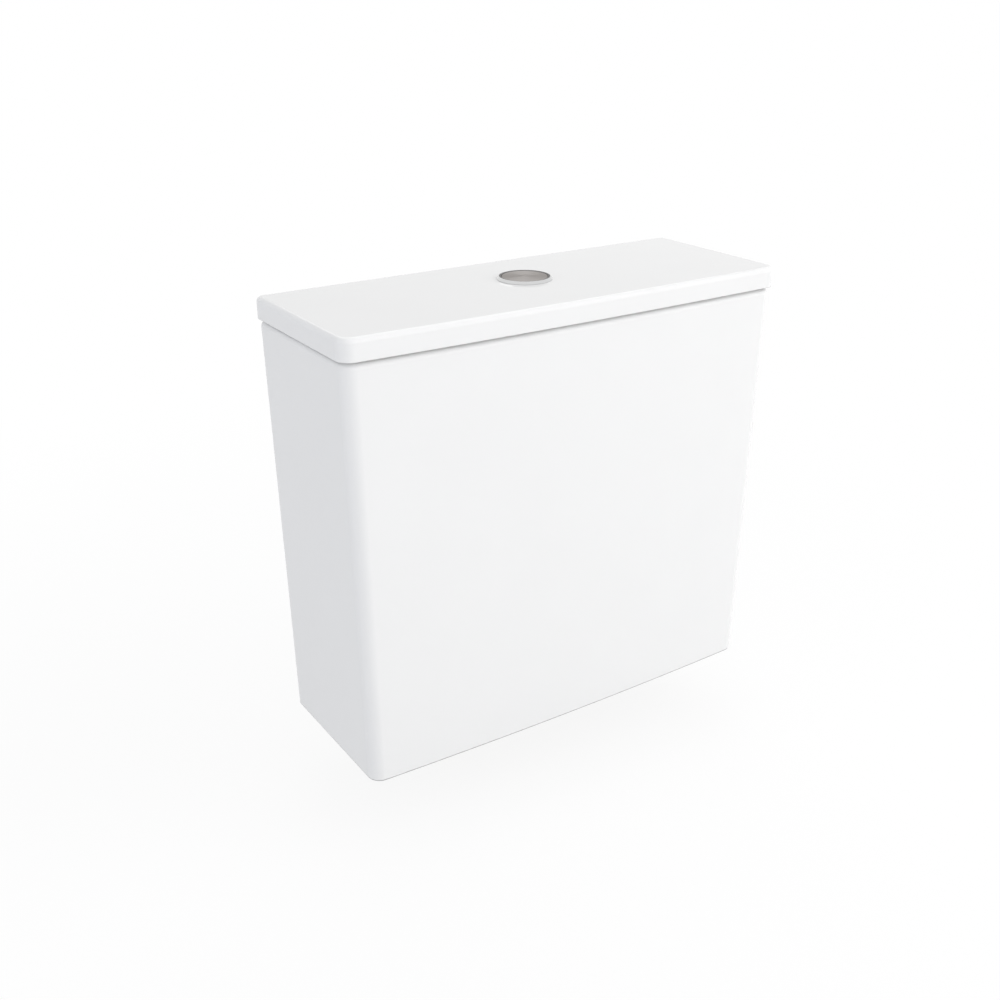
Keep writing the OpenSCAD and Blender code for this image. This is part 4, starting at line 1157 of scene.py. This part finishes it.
@dataclass
class CouplingFixings:
    """The two coupling bolts with their washers and wing nuts."""

    bolt_x: float = 75 * MM
    thread_radius: float = 3.6 * MM
    thread_foot: float = -54 * MM
    thread_top: float = -30.4 * MM
    thread_pitch: float = 1.25 * MM
    thread_depth: float = 0.4 * MM
    thread_clear: float = 0.6 * MM
    nodes: ClassVar[NodeTable] = {
        Surface.BRASS: {"coupling_bolts": 0.3, "wing_nuts": 0.6},
        Surface.BLACK_RUBBER: {"bolt_cone_washers": 0.5, "pan_rubber_washers": 0.5},
        Surface.STAINLESS: {"bolt_head_washers": 0.25, "pan_steel_washers": 0.25},
    }

    def build(self) -> None:
        """Dress the fixings and cut the bolts' threads."""
        dress_nodes(self.nodes)
        foot = (-self.bolt_x, 0, self.thread_foot + self.thread_clear)
        turns = (self.thread_top - self.thread_foot - 2 * self.thread_clear) / self.thread_pitch
        run = (self.thread_radius, self.thread_pitch, turns, self.thread_depth)
        threads = Winding("bolt_threads", *run, foot, count=2, spacing=(2 * self.bolt_x, 0, 0))
        threads.build("cistern", Surface.BRASS)


@dataclass(frozen=True)
class Lamp:
    """A square softbox that faces the middle of the object.

    Attributes:
        name: Name of the lamp.
        side: Direction that it stands in.
        away: Its distance.
        size: Length of its sides.
        level: Share of full light that it throws on a surface that faces it.
        colour: Colour of its light in sRGB hex.
        mirrored: True where metal shows it, as a soft fan on the spun plates.
    """

    name: str
    side: Triple
    away: float
    size: float
    level: float
    colour: str = WHITE
    mirrored: bool = False
    middle: ClassVar[Vector] = Vector((0, 0, 0.17))

    def build(self) -> None:
        """Hang the lamp. Unless it is mirrored, shiny surfaces show the white studio in its place."""
        light = bpy.data.lights.new(self.name, "AREA")
        light.size = self.size
        # This power makes a white surface that faces the lamp as bright as the level says.
        light.energy = self.level * pi**2 * self.away**2
        light.color = linear(self.colour)[:3]
        lamp = add_object(self.name, light)
        way = Vector(self.side).normalized()
        lamp.location = way * self.away + self.middle
        lamp.rotation_euler = way.to_track_quat("Z", "Y").to_euler()
        lamp.visible_glossy = self.mirrored


@dataclass
class Studio:
    """A plain pale floor, soft level light and the camera at the photograph's viewing angle."""

    floor_size: float = 120.0
    floor_gap: float = 0.5 * MM
    floor_tone: str = "#FAFAFA"
    bounce_tone: str = "#B5B5B5"
    shadow_share: float = 0.12
    shadow_reach: tuple[float, float] = (0.35, 1.1)
    sky_level: float = 0.54
    lamps: tuple[Lamp, ...] = (
        Lamp("front_softbox", (0.642, -0.765, 0.052), 3.2, 2.5, 0.545),
        Lamp("camera_softbox", (-0.342, -0.938, 0.052), 2.5, 2.0, 0.285),
        Lamp("left_softbox", (-0.983, -0.173, 0.052), 2.5, 2.0, 0.415, "#F2F6FF"),
        Lamp("right_softbox", (0.709, -0.410, 0.574), 3.2, 2.5, 0.335),
        Lamp("back_softbox", (0.321, 0.557, 0.766), 2.5, 2.0, 0.215, mirrored=True),
    )
    camera_place: Triple = (-521.07 * MM, -754.54 * MM, 566.65 * MM)
    camera_yaw: float = 33.447
    camera_dip: float = 23.631
    camera_lens: float = 43.335
    camera_sensor: float = 36.0
    camera_near: float = 10 * MM

    def seen(self, tree: Tree) -> Socket:
        """Tell the rays that show a surface from those that light one.

        Args:
            tree: Shader tree that takes the nodes.

        Returns:
            Socket that is 1 for camera, mirror and glass rays and 0 for the rest.
        """
        rays = add_node(tree, "ShaderNodeLightPath")
        mirror = {0: rays["Is Glossy Ray"], 1: rays["Is Transmission Ray"]}
        shown = {0: rays["Is Camera Ray"], 1: add_node(tree, "ShaderNodeMath", mirror, operation="MAXIMUM")[0]}
        return add_node(tree, "ShaderNodeMath", shown, operation="MAXIMUM")[0]

    def floor(self) -> None:
        """Lay a white floor under the lowest piece that takes a faint shadow and is clear from below."""
        z = CAD_BOX[0][2] - self.floor_gap
        h = self.floor_size / 2
        mesh = bpy.data.meshes.new("studio_floor")
        mesh.from_pydata([(-h, -h, z), (h, -h, z), (h, h, z), (-h, h, z)], [], [(0, 1, 2, 3)])
        floor = add_object("studio_floor", mesh)
        paper = bpy.data.materials.new("white_paper_floor")
        paper.use_nodes = True
        tree = paper.node_tree
        tree.nodes.clear()
        seen = self.seen(tree)
        tones = {0: seen, 6: linear(self.bounce_tone), 7: linear(self.floor_tone)}
        tone = add_node(tree, "ShaderNodeMix", tones, data_type="RGBA")
        matt = add_node(tree, "ShaderNodeBsdfDiffuse", {"Color": tone[2]})
        white = add_node(tree, "ShaderNodeEmission", {"Color": linear(WHITE), "Strength": 1.0})
        place = add_node(tree, "ShaderNodeTexCoord")["Object"]
        away = add_node(tree, "ShaderNodeVectorMath", {0: place}, operation="LENGTH")
        near, far = self.shadow_reach
        fade = {"Value": away["Value"], "From Min": near, "From Max": far, "To Min": 1 - self.shadow_share}
        plain = add_node(tree, "ShaderNodeMapRange", fade, interpolation_type="SMOOTHSTEP")
        share = add_node(tree, "ShaderNodeMath", {0: seen, 1: plain[0]}, operation="MULTIPLY")
        layers = {0: share[0], 1: matt[0], 2: white[0]}
        both = add_node(tree, "ShaderNodeMixShader", layers)
        under = add_node(tree, "ShaderNodeNewGeometry")["Backfacing"]
        clear = add_node(tree, "ShaderNodeBsdfTransparent")
        one_sided = add_node(tree, "ShaderNodeMixShader", {0: under, 1: both[0], 2: clear[0]})
        add_node(tree, "ShaderNodeOutputMaterial", {"Surface": one_sided[0]})
        mesh.materials.append(paper)

    def light(self) -> None:
        """Set a level white sky and the softboxes."""
        world = bpy.data.worlds.new("studio_sky")
        bpy.context.scene.world = world
        world.use_nodes = True
        tree = world.node_tree
        tree.nodes.clear()
        level = add_node(tree, "ShaderNodeMapRange", {"Value": self.seen(tree), "To Min": self.sky_level})
        glow = {"Color": linear(WHITE), "Strength": level[0]}
        sky = add_node(tree, "ShaderNodeBackground", glow)
        add_node(tree, "ShaderNodeOutputWorld", {"Surface": sky[0]})
        for lamp in self.lamps:
            lamp.build()

    def camera(self) -> None:
        """Stand the camera where the photograph was taken from."""
        lens = bpy.data.cameras.new("photo_camera")
        lens.sensor_width = self.camera_sensor
        lens.lens = self.camera_lens
        lens.clip_start = self.camera_near
        eye = add_object("photo_camera", lens)
        yaw, dip = radians(self.camera_yaw), radians(self.camera_dip)
        look = Vector((sin(yaw) * cos(dip), cos(yaw) * cos(dip), -sin(dip)))
        eye.location = self.camera_place
        eye.rotation_euler = look.to_track_quat("-Z", "Y").to_euler()
        bpy.context.scene.camera = eye

    def build(self) -> None:
        """Set up the floor, the light, the camera and the view."""
        self.camera()
        self.floor()
        self.light()
        bpy.context.scene.view_settings.view_transform = "Standard"


def main() -> None:
    """Build and dress the cistern, sub-assembly by sub-assembly."""
    logging.basicConfig(level=logging.INFO, format="%(name)s: %(message)s")
    assemblies = (Studio(), ChinaTank(), ChinaLid(), PushButton(), FlushValve(), FillValve(), CouplingFixings())
    for assembly in assemblies:
        LOG.info("building %s", type(assembly).__name__)
        assembly.build()


if __name__ == "__main__":
    main()
